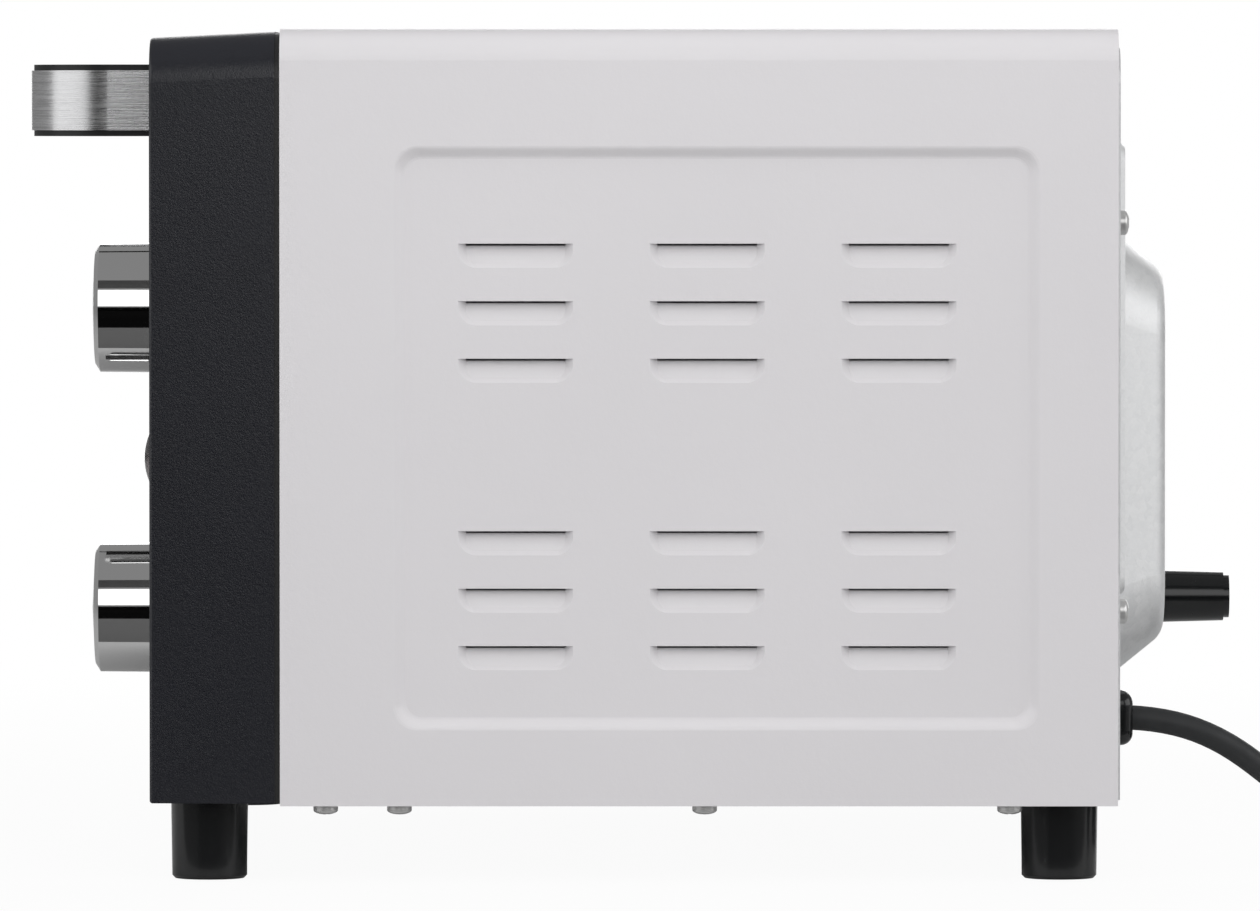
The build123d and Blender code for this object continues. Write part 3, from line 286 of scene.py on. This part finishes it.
def finish_tree(tree, instances, finish):
    """Ends a geometry tree with real meshes in a material."""
    real = add_node(tree, "GeometryNodeRealizeInstances", None, {0: instances})
    dressed = add_node(tree, "GeometryNodeSetMaterial", None, {0: real, "Material": finish.material})
    plug_in(dressed, tree.nodes.new("NodeGroupOutput").inputs[0])


def grown(name, mesh, tree, values):
    """A plain mesh object, made by a geometry tree from a mesh and the tree's input values."""
    seed_object = bpy.data.objects.new(f"{name}_seed", mesh)
    bpy.context.collection.objects.link(seed_object)
    modifier = seed_object.modifiers.new("grow", "NODES")
    modifier.node_group = tree
    for identifier, value in values.items():
        modifier[identifier] = value
    evaluated = seed_object.evaluated_get(bpy.context.evaluated_depsgraph_get())
    plain = bpy.data.meshes.new_from_object(evaluated)
    plain.name = name
    bpy.data.objects.remove(seed_object)
    piece = bpy.data.objects.new(name, plain)
    bpy.context.collection.objects.link(piece)
    return piece


screw_tree = new_tree("pan_head_screws")
screw_names = ("Head radius", "Head height", "Shank radius", "Shank length", "Slot width", "Slot depth")
screw_inputs = {name: named_input(screw_tree, name) for name in screw_names}
screw_seed = named_input(screw_tree, "Seed", "NodeSocketInt")
given = screw_tree.nodes.new("NodeGroupInput")
sizes = {name: Wire(screw_tree, given.outputs[name]) for name in screw_names}


def lifted(tree, shape, height, scale=(1, 1, 1), turn=0.0):
    """A shape scaled, turned about Z and moved up."""
    shift = add_node(tree, "ShaderNodeCombineXYZ", None, {"Z": height})
    settings = {"Translation": shift, "Rotation": (0, 0, turn), "Scale": scale}
    return add_node(tree, "GeometryNodeTransform", None, {0: shape, **settings})


rim = add_node(
    screw_tree,
    "GeometryNodeMeshCylinder",
    None,
    {"Vertices": 32, "Radius": sizes["Head radius"], "Depth": 0.5 * sizes["Head height"]},
)
rim = lifted(screw_tree, rim, 0.25 * sizes["Head height"])
dome = add_node(
    screw_tree, "GeometryNodeMeshUVSphere", None, {"Segments": 32, "Rings": 12, "Radius": 1.0}
)
dome_scale = add_node(
    screw_tree,
    "ShaderNodeCombineXYZ",
    None,
    {"X": sizes["Head radius"], "Y": sizes["Head radius"], "Z": 0.5 * sizes["Head height"]},
)
dome = lifted(screw_tree, dome, 0.5 * sizes["Head height"], dome_scale)
solid_head = screw_tree.nodes.new("GeometryNodeMeshBoolean")
solid_head.operation = "UNION"
solid_head.solver = "EXACT"
plug_in(rim, solid_head.inputs["Mesh 2"])
plug_in(dome, solid_head.inputs["Mesh 2"])
slot_size = add_node(
    screw_tree,
    "ShaderNodeCombineXYZ",
    None,
    {"X": 1.15 * sizes["Head radius"], "Y": sizes["Slot width"], "Z": 2.0 * sizes["Slot depth"]},
)
slot = add_node(screw_tree, "GeometryNodeMeshCube", None, {"Size": slot_size})
cut = screw_tree.nodes.new("GeometryNodeMeshBoolean")
cut.operation = "DIFFERENCE"
cut.solver = "EXACT"
plug_in(Wire(screw_tree, solid_head.outputs[0]), cut.inputs["Mesh 1"])
for turn in (0.0, pi / 2):
    plug_in(lifted(screw_tree, slot, sizes["Head height"], turn=turn), cut.inputs["Mesh 2"])
shank = add_node(
    screw_tree,
    "GeometryNodeMeshCylinder",
    None,
    {"Vertices": 16, "Radius": sizes["Shank radius"], "Depth": sizes["Shank length"]},
)
shank = lifted(screw_tree, shank, -0.5 * sizes["Shank length"])
heading = add_node(
    screw_tree, "GeometryNodeInputNamedAttribute", {"data_type": "FLOAT_VECTOR"}, {"Name": "heading"}
)
turned_up = add_node(screw_tree, "FunctionNodeAlignRotationToVector", {"axis": "Z"}, {"Vector": heading})
random_turn = add_node(
    screw_tree,
    "FunctionNodeRandomValue",
    {"data_type": "FLOAT"},
    {"Seed": Wire(screw_tree, given.outputs["Seed"])},
    out="Value",
)
driven = add_node(
    screw_tree, "FunctionNodeAxisAngleToRotation", None, {"Axis": (0, 0, 1), "Angle": pi * random_turn}
)
settled = add_node(
    screw_tree, "FunctionNodeRotateRotation", {"rotation_space": "LOCAL"}, {0: turned_up, 1: driven}
)
screws = add_node(
    screw_tree,
    "GeometryNodeInstanceOnPoints",
    None,
    {
        "Points": Wire(screw_tree, given.outputs[0]),
        "Instance": joined(screw_tree, Wire(screw_tree, cut.outputs[0]), shank),
        "Rotation": settled,
    },
)
finish_tree(screw_tree, screws, bright_zinc)


def screw_group(name, body, nodes, seed):
    """Cross-recessed screws in the places of plain ones, whose nodes come with their heads' heading.

    The screws of one group are alike, so that they all take the last one's length.
    """
    places = []
    headings = []
    for node, way in nodes.items():
        for low, high in loose_parts(node):
            middle = (low + high) / 2
            tip = Vector(
                high[i] if way[i] > 0 else low[i] if way[i] < 0 else middle[i] for i in range(3)
            )
            places.append(tip - head_height * Vector(way))
            headings.append(way)
            length = max(high - low) - head_height
    mesh = bpy.data.meshes.new(name)
    mesh.from_pydata(places, [], [])
    field = mesh.attributes.new("heading", "FLOAT_VECTOR", "POINT")
    for spot, way in zip(field.data, headings):
        spot.vector = way
    values = (head_radius, head_height, shank_radius, length, slot_width, slot_depth)
    wanted = dict(zip(screw_inputs.values(), values))
    wanted[screw_seed] = seed
    piece = grown(name, mesh, screw_tree, wanted)
    for polygon in piece.data.polygons:
        polygon.use_smooth = True
    piece.data.set_sharp_from_angle(angle=sharp_crease)
    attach(piece, body)
    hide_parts(*nodes)


screw_group("hem_screws", "housing", {"base_screws": (0, 0, -1)}, 3)
screw_group("panel_screws", "housing", {"rear_screws": (0, 1, 0)}, 8)
screw_group("foot_fixings", "housing", {"foot_screws": (0, 0, -1)}, 5)
screw_group("inner_panel_screws", "door", {"door_screws": (0, 1, 0)}, 12)
screw_group("handle_fixings", "door", {"handle_screws": (0, 1, 0)}, 17)

# Cavity
# Aluminised steel walls, with a bulge pressed into the rear one and shelf runners spot-welded to
# the sides, and tubular heating elements in glazed ceramic insulators.
aluminised = Finish("aluminised", Metallic=0.92)
rolling = aluminised.noise(60, 4.0, (1, 0.08, 1))
aluminised.set(Base_Color=aluminised.mix(rolling, (0.47, 0.465, 0.455, 1), (0.60, 0.60, 0.595, 1)))
aluminised.set(Roughness=0.30 + 0.22 * aluminised.noise(34, 4.0))
aluminised.bump(aluminised.noise(1300, 2.0), 0.00002)
dress(aluminised, "cavity_liner", "cavity_rear", "shelf_runners", "door_inner_panel")

heated_sheath = Finish("heated_sheath", Metallic=0.75)
scale_tone = heated_sheath.noise(110, 4.0)
oxide = heated_sheath.mix(scale_tone, (0.11, 0.105, 0.10, 1), (0.22, 0.20, 0.185, 1))
heated_sheath.set(Base_Color=oxide)
heated_sheath.set(Roughness=0.42 + 0.22 * heated_sheath.noise(600, 3.0))
heated_sheath.bump(heated_sheath.noise(2400, 2.0), 0.00003)
dress(heated_sheath, "upper_elements", "lower_elements")

glazed_ceramic = Finish("glazed_ceramic", Coat_Weight=0.5, Coat_Roughness=0.12)
glaze_tone = glazed_ceramic.noise(300, 4.0)
glaze = glazed_ceramic.mix(glaze_tone, (0.66, 0.62, 0.54, 1), (0.78, 0.75, 0.68, 1))
glazed_ceramic.set(Base_Color=glaze)
glazed_ceramic.set(Roughness=0.30 + 0.15 * glaze_tone)
glazed_ceramic.bump(glazed_ceramic.noise(900, 2.0), 0.00003)
dress(glazed_ceramic, "element_insulators")

# Rack and trays
# A welded wire rack in chrome plate, a black enamelled baking tray with pale specks, and a
# mill-finish aluminium crumb tray behind a plastic front.
rack_chrome = Finish("rack_chrome", Metallic=1.0)
rack_film = rack_chrome.noise(200, 3.0)
rack_chrome.set(Base_Color=rack_chrome.mix(rack_film, grey(0.62), grey(0.74)))
rack_chrome.set(Roughness=0.10 + 0.12 * rack_film)
rack_chrome.bump(rack_chrome.noise(1600, 2.0), 0.00001)
dress(rack_chrome, "wire_rack")

speckled_enamel = Finish("speckled_enamel", Coat_Weight=0.4, Coat_Roughness=0.06)
speck = speckled_enamel.step(speckled_enamel.noise(750, 1.0), 0.70, 0.76)
speckled_enamel.set(Base_Color=speckled_enamel.mix(speck, (0.012, 0.013, 0.016, 1), grey(0.42)))
speckled_enamel.set(Roughness=0.16 + 0.12 * speckled_enamel.noise(80, 3.0))
speckled_enamel.bump(speckled_enamel.noise(260, 2.0), 0.00005)
dress(speckled_enamel, "baking_tray")

mill_aluminium = Finish("mill_aluminium", Metallic=1.0)
mill_lines = mill_aluminium.noise(900, 3.0, (0.02, 1, 1))
mill_aluminium.set(Base_Color=mill_aluminium.mix(mill_lines, grey(0.56, -0.01), grey(0.70, -0.01)))
mill_aluminium.set(Roughness=0.28 + 0.16 * mill_lines)
mill_aluminium.bump(mill_lines, 0.00002)
dress(mill_aluminium, "crumb_tray")

# Door
# A moulded black door frame that carries a tinted outer pane, a clear inner one and a silicone
# spacer, with a steel inner panel screwed on behind. It turns on two pins at its foot.
door_plastic = Finish("door_plastic", Specular_IOR_Level=0.5)
door_cloud = door_plastic.noise(30, 3.0)
door_plastic.set(Base_Color=door_plastic.mix(door_cloud, grey(0.013, -0.08), grey(0.018, -0.08)))
door_plastic.set(Roughness=0.40 + 0.12 * door_plastic.noise(500, 2.0))
door_plastic.bump(door_plastic.noise(1700, 3.0), 0.00008)
dress(door_plastic, "door_frame", "crumb_tray_front")

tinted_glass = Finish("tinted_glass", Transmission_Weight=1.0, IOR=1.45)
tint = tinted_glass.noise(20, 3.0)
tinted_glass.set(Base_Color=tinted_glass.mix(tint, (0.13, 0.13, 0.135, 1), (0.16, 0.16, 0.165, 1)))
tinted_glass.set(Roughness=0.015 + 0.03 * tinted_glass.step(tinted_glass.noise(35, 5.0), 0.5, 0.8))
dress(tinted_glass, "door_outer_glass")

clear_glass = Finish("clear_glass", Transmission_Weight=1.0, IOR=1.45)
green_cast = clear_glass.noise(20, 3.0)
clear_glass.set(Base_Color=clear_glass.mix(green_cast, (0.86, 0.89, 0.87, 1), (0.90, 0.92, 0.91, 1)))
clear_glass.set(Roughness=0.01 + 0.04 * clear_glass.step(clear_glass.noise(28, 5.0), 0.55, 0.8))
dress(clear_glass, "door_inner_glass")

silicone = Finish("silicone", Specular_IOR_Level=0.4)
silicone.set(Base_Color=silicone.mix(silicone.noise(120, 3.0), grey(0.030), grey(0.048)))
silicone.set(Roughness=0.60 + 0.15 * silicone.noise(700, 2.0))
silicone.bump(silicone.noise(1800, 2.0), 0.00004)
dress(silicone, "glass_spacer")

ground_steel = Finish("ground_steel", Metallic=1.0)
grinding = ground_steel.noise(2600, 2.0, (0.05, 1, 1))
ground_steel.set(Base_Color=ground_steel.mix(grinding, grey(0.46), grey(0.62)))
ground_steel.set(Roughness=0.24 + 0.14 * grinding)
ground_steel.bump(grinding, 0.00001)
dress(ground_steel, "hinge_pins", "rack_hooks", "thermostat_shaft", "timer_shaft")

# Handle
# A black moulded bow, screwed on from inside the door, with a strip of stainless steel wrapped
# round its outside. The strip is brushed along its length.
satin_black = Finish("satin_black", Specular_IOR_Level=0.5)
core_cloud = satin_black.noise(60, 3.0)
satin_black.set(Base_Color=satin_black.mix(core_cloud, grey(0.007, -0.1), grey(0.011, -0.1)))
satin_black.set(Roughness=0.34 + 0.12 * satin_black.noise(600, 2.0))
satin_black.bump(satin_black.noise(1500, 2.0), 0.00004)
dress(satin_black, "handle_core")

brushed_steel = Finish("brushed_steel", Metallic=1.0)
long_grain = brushed_steel.noise(2200, 4.0, (0.012, 0.012, 1))
fine_grain = brushed_steel.noise(6500, 2.0, (0.02, 0.02, 1))
grain = 0.6 * long_grain + 0.4 * fine_grain
line_tone = brushed_steel.step(grain, 0.32, 0.66)
steel_tone = brushed_steel.mix(line_tone, (0.70, 0.70, 0.71, 1), (0.90, 0.90, 0.91, 1))
brushed_steel.set(Base_Color=steel_tone)
brushed_steel.set(Roughness=0.20 + 0.11 * line_tone)
brushed_steel.bump(grain, 0.00005, 0.9)
dress(brushed_steel, "handle_strip")


# Knobs
# Zinc castings with a bright chrome barrel and a satin, lathe-spun face, pushed on to steel
# shafts. A line cut along the barrel shows where each one points.
face_plane = -0.16125
knob_length = 0.0210
face_crown = 0.0024
knob_face_plane = face_plane - knob_length + face_crown
face_edge = 0.0004
rings_per_metre = 4200.0
knob_x = 0.178
thermostat_z = 0.1892
timer_z = 0.0889


def knob_finish(name, middle_x, middle_z):
    """Bright chrome whose front face is spun in fine rings about the knob's axis."""
    finish = Finish(name, Metallic=1.0)
    across = finish.axis("X") - middle_x
    up = finish.axis("Z") - middle_z
    radius = (across * across + up * up) ** 0.5
    rings = finish.node("ShaderNodeCombineXYZ", None, {0: rings_per_metre * radius, 1: 0.0, 2: 0.0})
    ring_noise = finish.node("ShaderNodeTexNoise", None, {"Vector": rings, "Scale": 1.0, "Detail": 3.0})
    on_face = 1 - finish.step(finish.axis("Y"), knob_face_plane, knob_face_plane + face_edge)
    satin = on_face * (0.55 + 0.45 * ring_noise)
    wiped = finish.noise(70, 4.0)
    finish.set(Base_Color=finish.mix(satin, grey(0.78), grey(0.80)))
    finish.set(Roughness=0.035 + 0.03 * wiped + 0.27 * satin)
    finish.bump(on_face * ring_noise, 0.000012)
    return finish


dress(knob_finish("thermostat_chrome", knob_x, thermostat_z), "thermostat_knob")
dress(knob_finish("timer_chrome", knob_x, timer_z), "timer_knob")

# Dial marks
# Pale marks printed on the control box round each knob: short strokes, and the numbers of
# degrees and of minutes beside them.
dial_ink = Finish("dial_ink", Specular_IOR_Level=0.4)
dial_ink.set(Base_Color=dial_ink.mix(dial_ink.noise(900, 3.0), grey(0.50), grey(0.62)))
dial_ink.set(Roughness=0.50 + 0.15 * dial_ink.noise(1500, 2.0))
print_thick = 0.00012
stroke_radius = 0.0268
stroke_length = 0.0028
stroke_width = 0.0006
number_radius = 0.0335
number_height = 0.0052

stroke_tree = new_tree("dial_strokes")
stroke_names = ("Radius", "Start angle", "Sweep angle", "Stroke length", "Stroke width", "Thickness")
stroke_inputs = {name: named_input(stroke_tree, name) for name in stroke_names}
stroke_count = named_input(stroke_tree, "Count", "NodeSocketInt")
dial_middle = named_input(stroke_tree, "Middle", "NodeSocketVector")
handed = stroke_tree.nodes.new("NodeGroupInput")
marks = {name: Wire(stroke_tree, handed.outputs[name]) for name in stroke_names}
dial_arc = add_node(
    stroke_tree,
    "GeometryNodeCurveArc",
    {"mode": "RADIUS"},
    {
        "Resolution": Wire(stroke_tree, handed.outputs["Count"]),
        "Radius": marks["Radius"],
        "Start Angle": marks["Start angle"],
        "Sweep Angle": marks["Sweep angle"],
    },
)
spots = add_node(stroke_tree, "GeometryNodeCurveToPoints", {"mode": "EVALUATED"}, {0: dial_arc})
stroke_size = add_node(
    stroke_tree,
    "ShaderNodeCombineXYZ",
    None,
    {"X": marks["Stroke length"], "Y": marks["Stroke width"], "Z": marks["Thickness"]},
)
stroke = add_node(stroke_tree, "GeometryNodeMeshCube", None, {"Size": stroke_size})
spot_place = add_node(stroke_tree, "GeometryNodeInputPosition")
pointing_out = add_node(
    stroke_tree, "FunctionNodeAlignRotationToVector", {"axis": "X"}, {"Vector": spot_place}
)
strokes = add_node(
    stroke_tree,
    "GeometryNodeInstanceOnPoints",
    None,
    {"Points": spots, "Instance": stroke, "Rotation": pointing_out},
)
stood_up = add_node(
    stroke_tree,
    "GeometryNodeTransform",
    None,
    {0: strokes, "Translation": Wire(stroke_tree, handed.outputs["Middle"]), "Rotation": (pi / 2, 0, 0)},
)
finish_tree(stroke_tree, stood_up, dial_ink)


def dial(name, middle_z, start, sweep, count, labels):
    """The strokes and numbers round one knob, clockwise from an angle seen from the front."""
    middle = Vector((knob_x, face_plane - print_thick / 2, middle_z))
    angles = (radians(start), -radians(sweep))
    values = (stroke_radius, *angles, stroke_length, stroke_width, print_thick)
    wanted = dict(zip(stroke_inputs.values(), values))
    wanted[stroke_count] = count
    wanted[dial_middle] = middle
    strokes_piece = grown(f"{name}_strokes", bpy.data.meshes.new("dial_seed"), stroke_tree, wanted)
    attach(strokes_piece, "housing")
    numbers = bmesh.new()
    for order, label in enumerate(labels):
        text = bpy.data.curves.new("dial_number", "FONT")
        text.body = label
        text.size = number_height
        text.align_x = "CENTER"
        text.align_y = "CENTER"
        text.extrude = print_thick / 2
        text_object = bpy.data.objects.new("dial_number", text)
        bpy.context.collection.objects.link(text_object)
        evaluated = text_object.evaluated_get(bpy.context.evaluated_depsgraph_get())
        flat = bpy.data.meshes.new_from_object(evaluated)
        bpy.data.objects.remove(text_object)
        angle = radians(start - sweep * order / (len(labels) - 1))
        across = number_radius * Vector((cos(angle), 0, sin(angle)))
        flat.transform(Matrix.Translation(middle + across) @ Matrix.Rotation(pi / 2, 4, "X"))
        numbers.from_mesh(flat)
    mesh = bpy.data.meshes.new(f"{name}_numbers")
    numbers.to_mesh(mesh)
    numbers.free()
    mesh.materials.append(dial_ink.material)
    piece = bpy.data.objects.new(f"{name}_numbers", mesh)
    bpy.context.collection.objects.link(piece)
    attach(piece, "housing")


dial("thermostat", thermostat_z, 229.4, 278.8, 15, ["0", "70", "100", "130", "160", "190", "220", "250"])
dial("timer", timer_z, 89.5, 330.0, 25, ["0", "10", "20", "30", "40", "50", "60"])

# Controls behind the panel
# A thermostat in a cream moulding with its copper bulb and tube, a steel-cased timer with a
# plated bell, a pilot lamp under a smoked lens, and the terminal block for the lead.
cream_plastic = Finish("cream_plastic", Specular_IOR_Level=0.45)
cream_tone = cream_plastic.noise(120, 3.0)
cream_plastic.set(Base_Color=cream_plastic.mix(cream_tone, (0.60, 0.56, 0.46, 1), (0.68, 0.64, 0.55, 1)))
cream_plastic.set(Roughness=0.48 + 0.14 * cream_plastic.noise(800, 2.0))
cream_plastic.bump(cream_plastic.noise(1500, 2.0), 0.00004)
dress(cream_plastic, "thermostat_body", "pilot_lamp", "terminal_block")

plated_case = Finish("plated_case", Metallic=1.0)
case_tone = plated_case.noise(90, 4.0)
plated_case.set(Base_Color=plated_case.mix(case_tone, (0.50, 0.49, 0.45, 1), (0.64, 0.63, 0.60, 1)))
plated_case.set(Roughness=0.30 + 0.16 * case_tone)
plated_case.bump(plated_case.noise(1200, 2.0), 0.00002)
dress(plated_case, "timer_body")

bell_nickel = Finish("bell_nickel", Metallic=1.0)
nickel_tone = bell_nickel.noise(70, 3.0)
bell_nickel.set(Base_Color=bell_nickel.mix(nickel_tone, (0.60, 0.59, 0.56, 1), (0.72, 0.71, 0.69, 1)))
bell_nickel.set(Roughness=0.09 + 0.10 * nickel_tone)
bell_nickel.bump(bell_nickel.noise(600, 2.0), 0.00001)
dress(bell_nickel, "timer_bell")

drawn_copper = Finish("drawn_copper", Metallic=1.0)
tarnish = drawn_copper.noise(260, 4.0)
drawn_copper.set(Base_Color=drawn_copper.mix(tarnish, (0.42, 0.19, 0.11, 1), (0.66, 0.34, 0.22, 1)))
drawn_copper.set(Roughness=0.26 + 0.22 * tarnish)
drawn_copper.bump(drawn_copper.noise(1400, 2.0), 0.00001)
dress(drawn_copper, "thermostat_capillary")

smoked_lens = Finish("smoked_lens", Transmission_Weight=0.75, IOR=1.49)
smoke = smoked_lens.noise(400, 2.0)
smoked_lens.set(Base_Color=smoked_lens.mix(smoke, (0.055, 0.048, 0.050, 1), (0.085, 0.070, 0.072, 1)))
smoked_lens.set(Roughness=0.06 + 0.06 * smoked_lens.noise(900, 2.0))
dress(smoked_lens, "pilot_lens")

# Mains lead
# A round three-core rubber lead, 8.4 mm across. It leaves the gland level, droops to the worktop
# and lies behind the oven in a coil of two layers, with the plug beside it.
lead_radius = 0.0042
layer_rise = 0.0089
lead_start = Vector((0.170, 0.15975, 0.0516))
lead_steps = [
    (0, 0, 0),
    (0, 0.0140, 0),
    (-0.0022, 0.0351, -0.0065),
    (-0.0101, 0.0556, -0.0216),
    (-0.0261, 0.0719, -0.0373),
    (-0.0547, 0.0839, -0.0474),
    (-0.0870, 0.0839, -0.0474),
]
lead_points = [lead_start + Vector(step) for step in lead_steps]
half_turn_radii = [0.05, 0.04555, 0.0411, 0.03665, 0.0411, 0.04555, 0.05]
climbing_turn = 3
points_per_half_turn = 12
x, y, z = lead_points[-1]
side = 1
for number, radius in enumerate(half_turn_radii):
    rise = layer_rise if number == climbing_turn else 0.0
    for step in range(1, points_per_half_turn + 1):
        share = step / points_per_half_turn
        swing = side * radius * sin(pi * share)
        travel = side * radius * (1 - cos(pi * share))
        lead_points.append(Vector((x - swing, y + travel, z + rise * share)))
    y += side * 2 * radius
    z += rise
    side = -side
plug_start = Vector((0.150, 0.32665, 0.0187))
plug_heading = Vector((0.80, -0.60, 0.0))
lead_points += [
    Vector((x + 0.016, y, z)),
    Vector((x + 0.034, y - 0.0045, z + 0.003)),
    plug_start - 0.014 * plug_heading,
    plug_start,
]
lead_curve = bpy.data.curves.new("mains_lead", "CURVE")
lead_curve.dimensions = "3D"
lead_spline = lead_curve.splines.new("NURBS")
lead_spline.points.add(len(lead_points) - 1)
for point, spot in zip(lead_spline.points, lead_points):
    point.co = (*spot, 1.0)
lead_spline.order_u = 3
lead_spline.use_endpoint_u = True
lead_spline.resolution_u = 6
lead_curve.bevel_depth = lead_radius
lead_curve.bevel_resolution = 5
lead_curve.use_fill_caps = True
mains_lead = bpy.data.objects.new("mains_lead", lead_curve)
bpy.context.collection.objects.link(mains_lead)
lead_rubber = Finish("lead_rubber", Specular_IOR_Level=0.45)
lead_dust = lead_rubber.noise(140, 4.0)
lead_rubber.set(Base_Color=lead_rubber.mix(lead_dust, grey(0.020, -0.06), grey(0.034, -0.05)))
lead_rubber.set(Roughness=0.46 + 0.16 * lead_rubber.noise(420))
lead_rubber.bump(lead_rubber.noise(2600, 3.0), 0.00006)
lead_curve.materials.append(lead_rubber.material)
dress(lead_rubber, "power_cord", "cord_coil", "cord_tail", "plug_body")
plug_nickel = Finish("plug_nickel", Metallic=1.0)
plug_film = plug_nickel.noise(500, 3.0)
plug_nickel.set(Base_Color=plug_nickel.mix(plug_film, (0.62, 0.60, 0.55, 1), (0.74, 0.73, 0.69, 1)))
plug_nickel.set(Roughness=0.14 + 0.12 * plug_film)
plug_nickel.bump(plug_nickel.noise(1800, 2.0), 0.00001)
dress(plug_nickel, "plug_pins")
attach(mains_lead, "housing")
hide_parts("power_cord", "cord_coil", "cord_tail")

# Floor, backdrop and light
# A pale worktop and a white backdrop, lit by a soft box on the camera's side, one overhead, and
# others at the front, the back and the far side. Black and grey cards, which only reflections
# show, give the chrome and the steel their dark bands.
worktop = Finish("worktop", Roughness=0.6, Specular_IOR_Level=0.2)
worktop.set(Base_Color=worktop.mix(worktop.noise(3.0), grey(0.64), grey(0.68)))
white = worktop.node("ShaderNodeEmission", None, {"Color": grey(1.0), "Strength": 1.0})
rays = worktop.tree.nodes.new("ShaderNodeLightPath")
straight_rays = Wire(worktop.tree, rays.outputs["Is Camera Ray"])
floor_x = worktop.axis("X")
floor_y = worktop.axis("Y")
from_oven = (floor_x * floor_x + floor_y * floor_y) ** 0.5
least_white = 0.95
last_shadow = 0.35
all_white = 1.30
far_off = worktop.step(from_oven, last_shadow, all_white)
whitened = (least_white + (1.0 - least_white) * far_off) * straight_rays
lit_top = Wire(worktop.tree, worktop.shader.outputs[0])
blend_white = worktop.node("ShaderNodeMixShader", None, {0: whitened, 1: lit_top, 2: white})
plug_in(blend_white, worktop.tree.nodes["Material Output"].inputs[0])
card_black = Finish("card_black", Specular_IOR_Level=0.0)
card_black.set(Base_Color=card_black.mix(card_black.noise(5.0), grey(0.003), grey(0.005)))
card_grey = Finish("card_grey", Specular_IOR_Level=0.0)
card_grey.set(Base_Color=card_grey.mix(card_grey.noise(5.0), grey(0.14), grey(0.18)))


def stage_sheet(name, corners, finish):
    """A flat four-cornered sheet that isn't part of the oven."""
    mesh = bpy.data.meshes.new(name)
    mesh.from_pydata(corners, [], [(0, 1, 2, 3)])
    mesh.materials.append(finish.material)
    sheet = bpy.data.objects.new(name, mesh)
    bpy.context.collection.objects.link(sheet)
    return sheet


def level_sheet(name, x_ends, y_ends, z, finish):
    """A level sheet between two places in X and two in Y."""
    (x_0, x_1), (y_0, y_1) = x_ends, y_ends
    return stage_sheet(name, [(x_0, y_0, z), (x_1, y_0, z), (x_1, y_1, z), (x_0, y_1, z)], finish)


def upright_sheet(name, x, y_ends, z_ends, finish):
    """A sheet that stands across X, between two places in Y and two in Z."""
    (y_0, y_1), (z_0, z_1) = y_ends, z_ends
    return stage_sheet(name, [(x, y_0, z_0), (x, y_1, z_0), (x, y_1, z_1), (x, y_0, z_1)], finish)


worktop_ends = (-60.0, 60.0)
level_sheet("floor", worktop_ends, worktop_ends, 0.0, worktop)
off_worktop = 0.002
cards = [
    level_sheet("low_card", (0.45, 2.86), (-1.5, 1.5), off_worktop, card_black),
    # This grey card is painted shade: it stands for the worktop's shadow beside the oven, and only
    # reflections show it.
    level_sheet("worktop_shade_card", (0.235, 0.45), (-1.5, 1.5), off_worktop, card_grey),
    upright_sheet("low_wall", 2.85, (-1.5, 1.5), (0.0, 0.25), card_black),
    upright_sheet("side_card", 1.9, (-1.05, -0.33), (0.0, 1.4), card_black),
    upright_sheet("high_card", 1.9, (-1.0, 1.0), (1.40, 2.25), card_grey),
    level_sheet("ceiling_bar", (-0.93, -0.76), (-1.2, 1.2), 2.0, card_black),
]
for card in cards:
    card.visible_camera = False
    card.visible_diffuse = False
    card.visible_transmission = False
    card.visible_volume_scatter = False
    card.visible_shadow = False

lit_point = Vector((0.0, 0.0, 0.15))


def soft_box(name, place, size, watts, in_gloss=True):
    """A rectangular lamp at a place, turned to the oven."""
    light = bpy.data.lights.new(name, "AREA")
    light.shape = "RECTANGLE"
    light.size, light.size_y = size
    light.energy = watts
    lamp = bpy.data.objects.new(name, light)
    lamp.location = place
    lamp.rotation_euler = (lit_point - Vector(place)).to_track_quat("-Z", "Y").to_euler()
    lamp.visible_glossy = in_gloss
    bpy.context.collection.objects.link(lamp)


soft_box("key", (2.1, 0.0, 0.80), (2.1, 1.05), 8.4)
soft_box("overhead", (0.95, 0.0, 1.35), (1.8, 1.8), 13.5, in_gloss=False)
soft_box("front", (1.25, -2.3, 0.9), (3.0, 2.2), 16)
soft_box("back", (0.9, 2.5, 0.9), (2.6, 1.7), 19)
soft_box("far_side", (-2.6, 0.3, 0.75), (2.2, 1.5), 24)

world = bpy.data.worlds.new("studio")
world.use_nodes = True
bpy.context.scene.world = world
sky = world.node_tree
background = sky.nodes["Background"]
world_rays = sky.nodes.new("ShaderNodeLightPath")
camera_ray = Wire(sky, world_rays.outputs["Is Camera Ray"])
through_glass = Wire(sky, world_rays.outputs["Is Transmission Ray"])
gloss_ray = Wire(sky, world_rays.outputs["Is Glossy Ray"])
seen_white = camera_ray.math("MAXIMUM", camera_ray, through_glass)
fill_light = 0.20
gloss_extra = 0.07
strength = fill_light + (1.0 - fill_light) * seen_white + gloss_extra * gloss_ray
plug_in(strength, background.inputs["Strength"])
background.inputs["Color"].default_value = grey(1.0)
bpy.context.scene.view_settings.view_transform = "Standard"
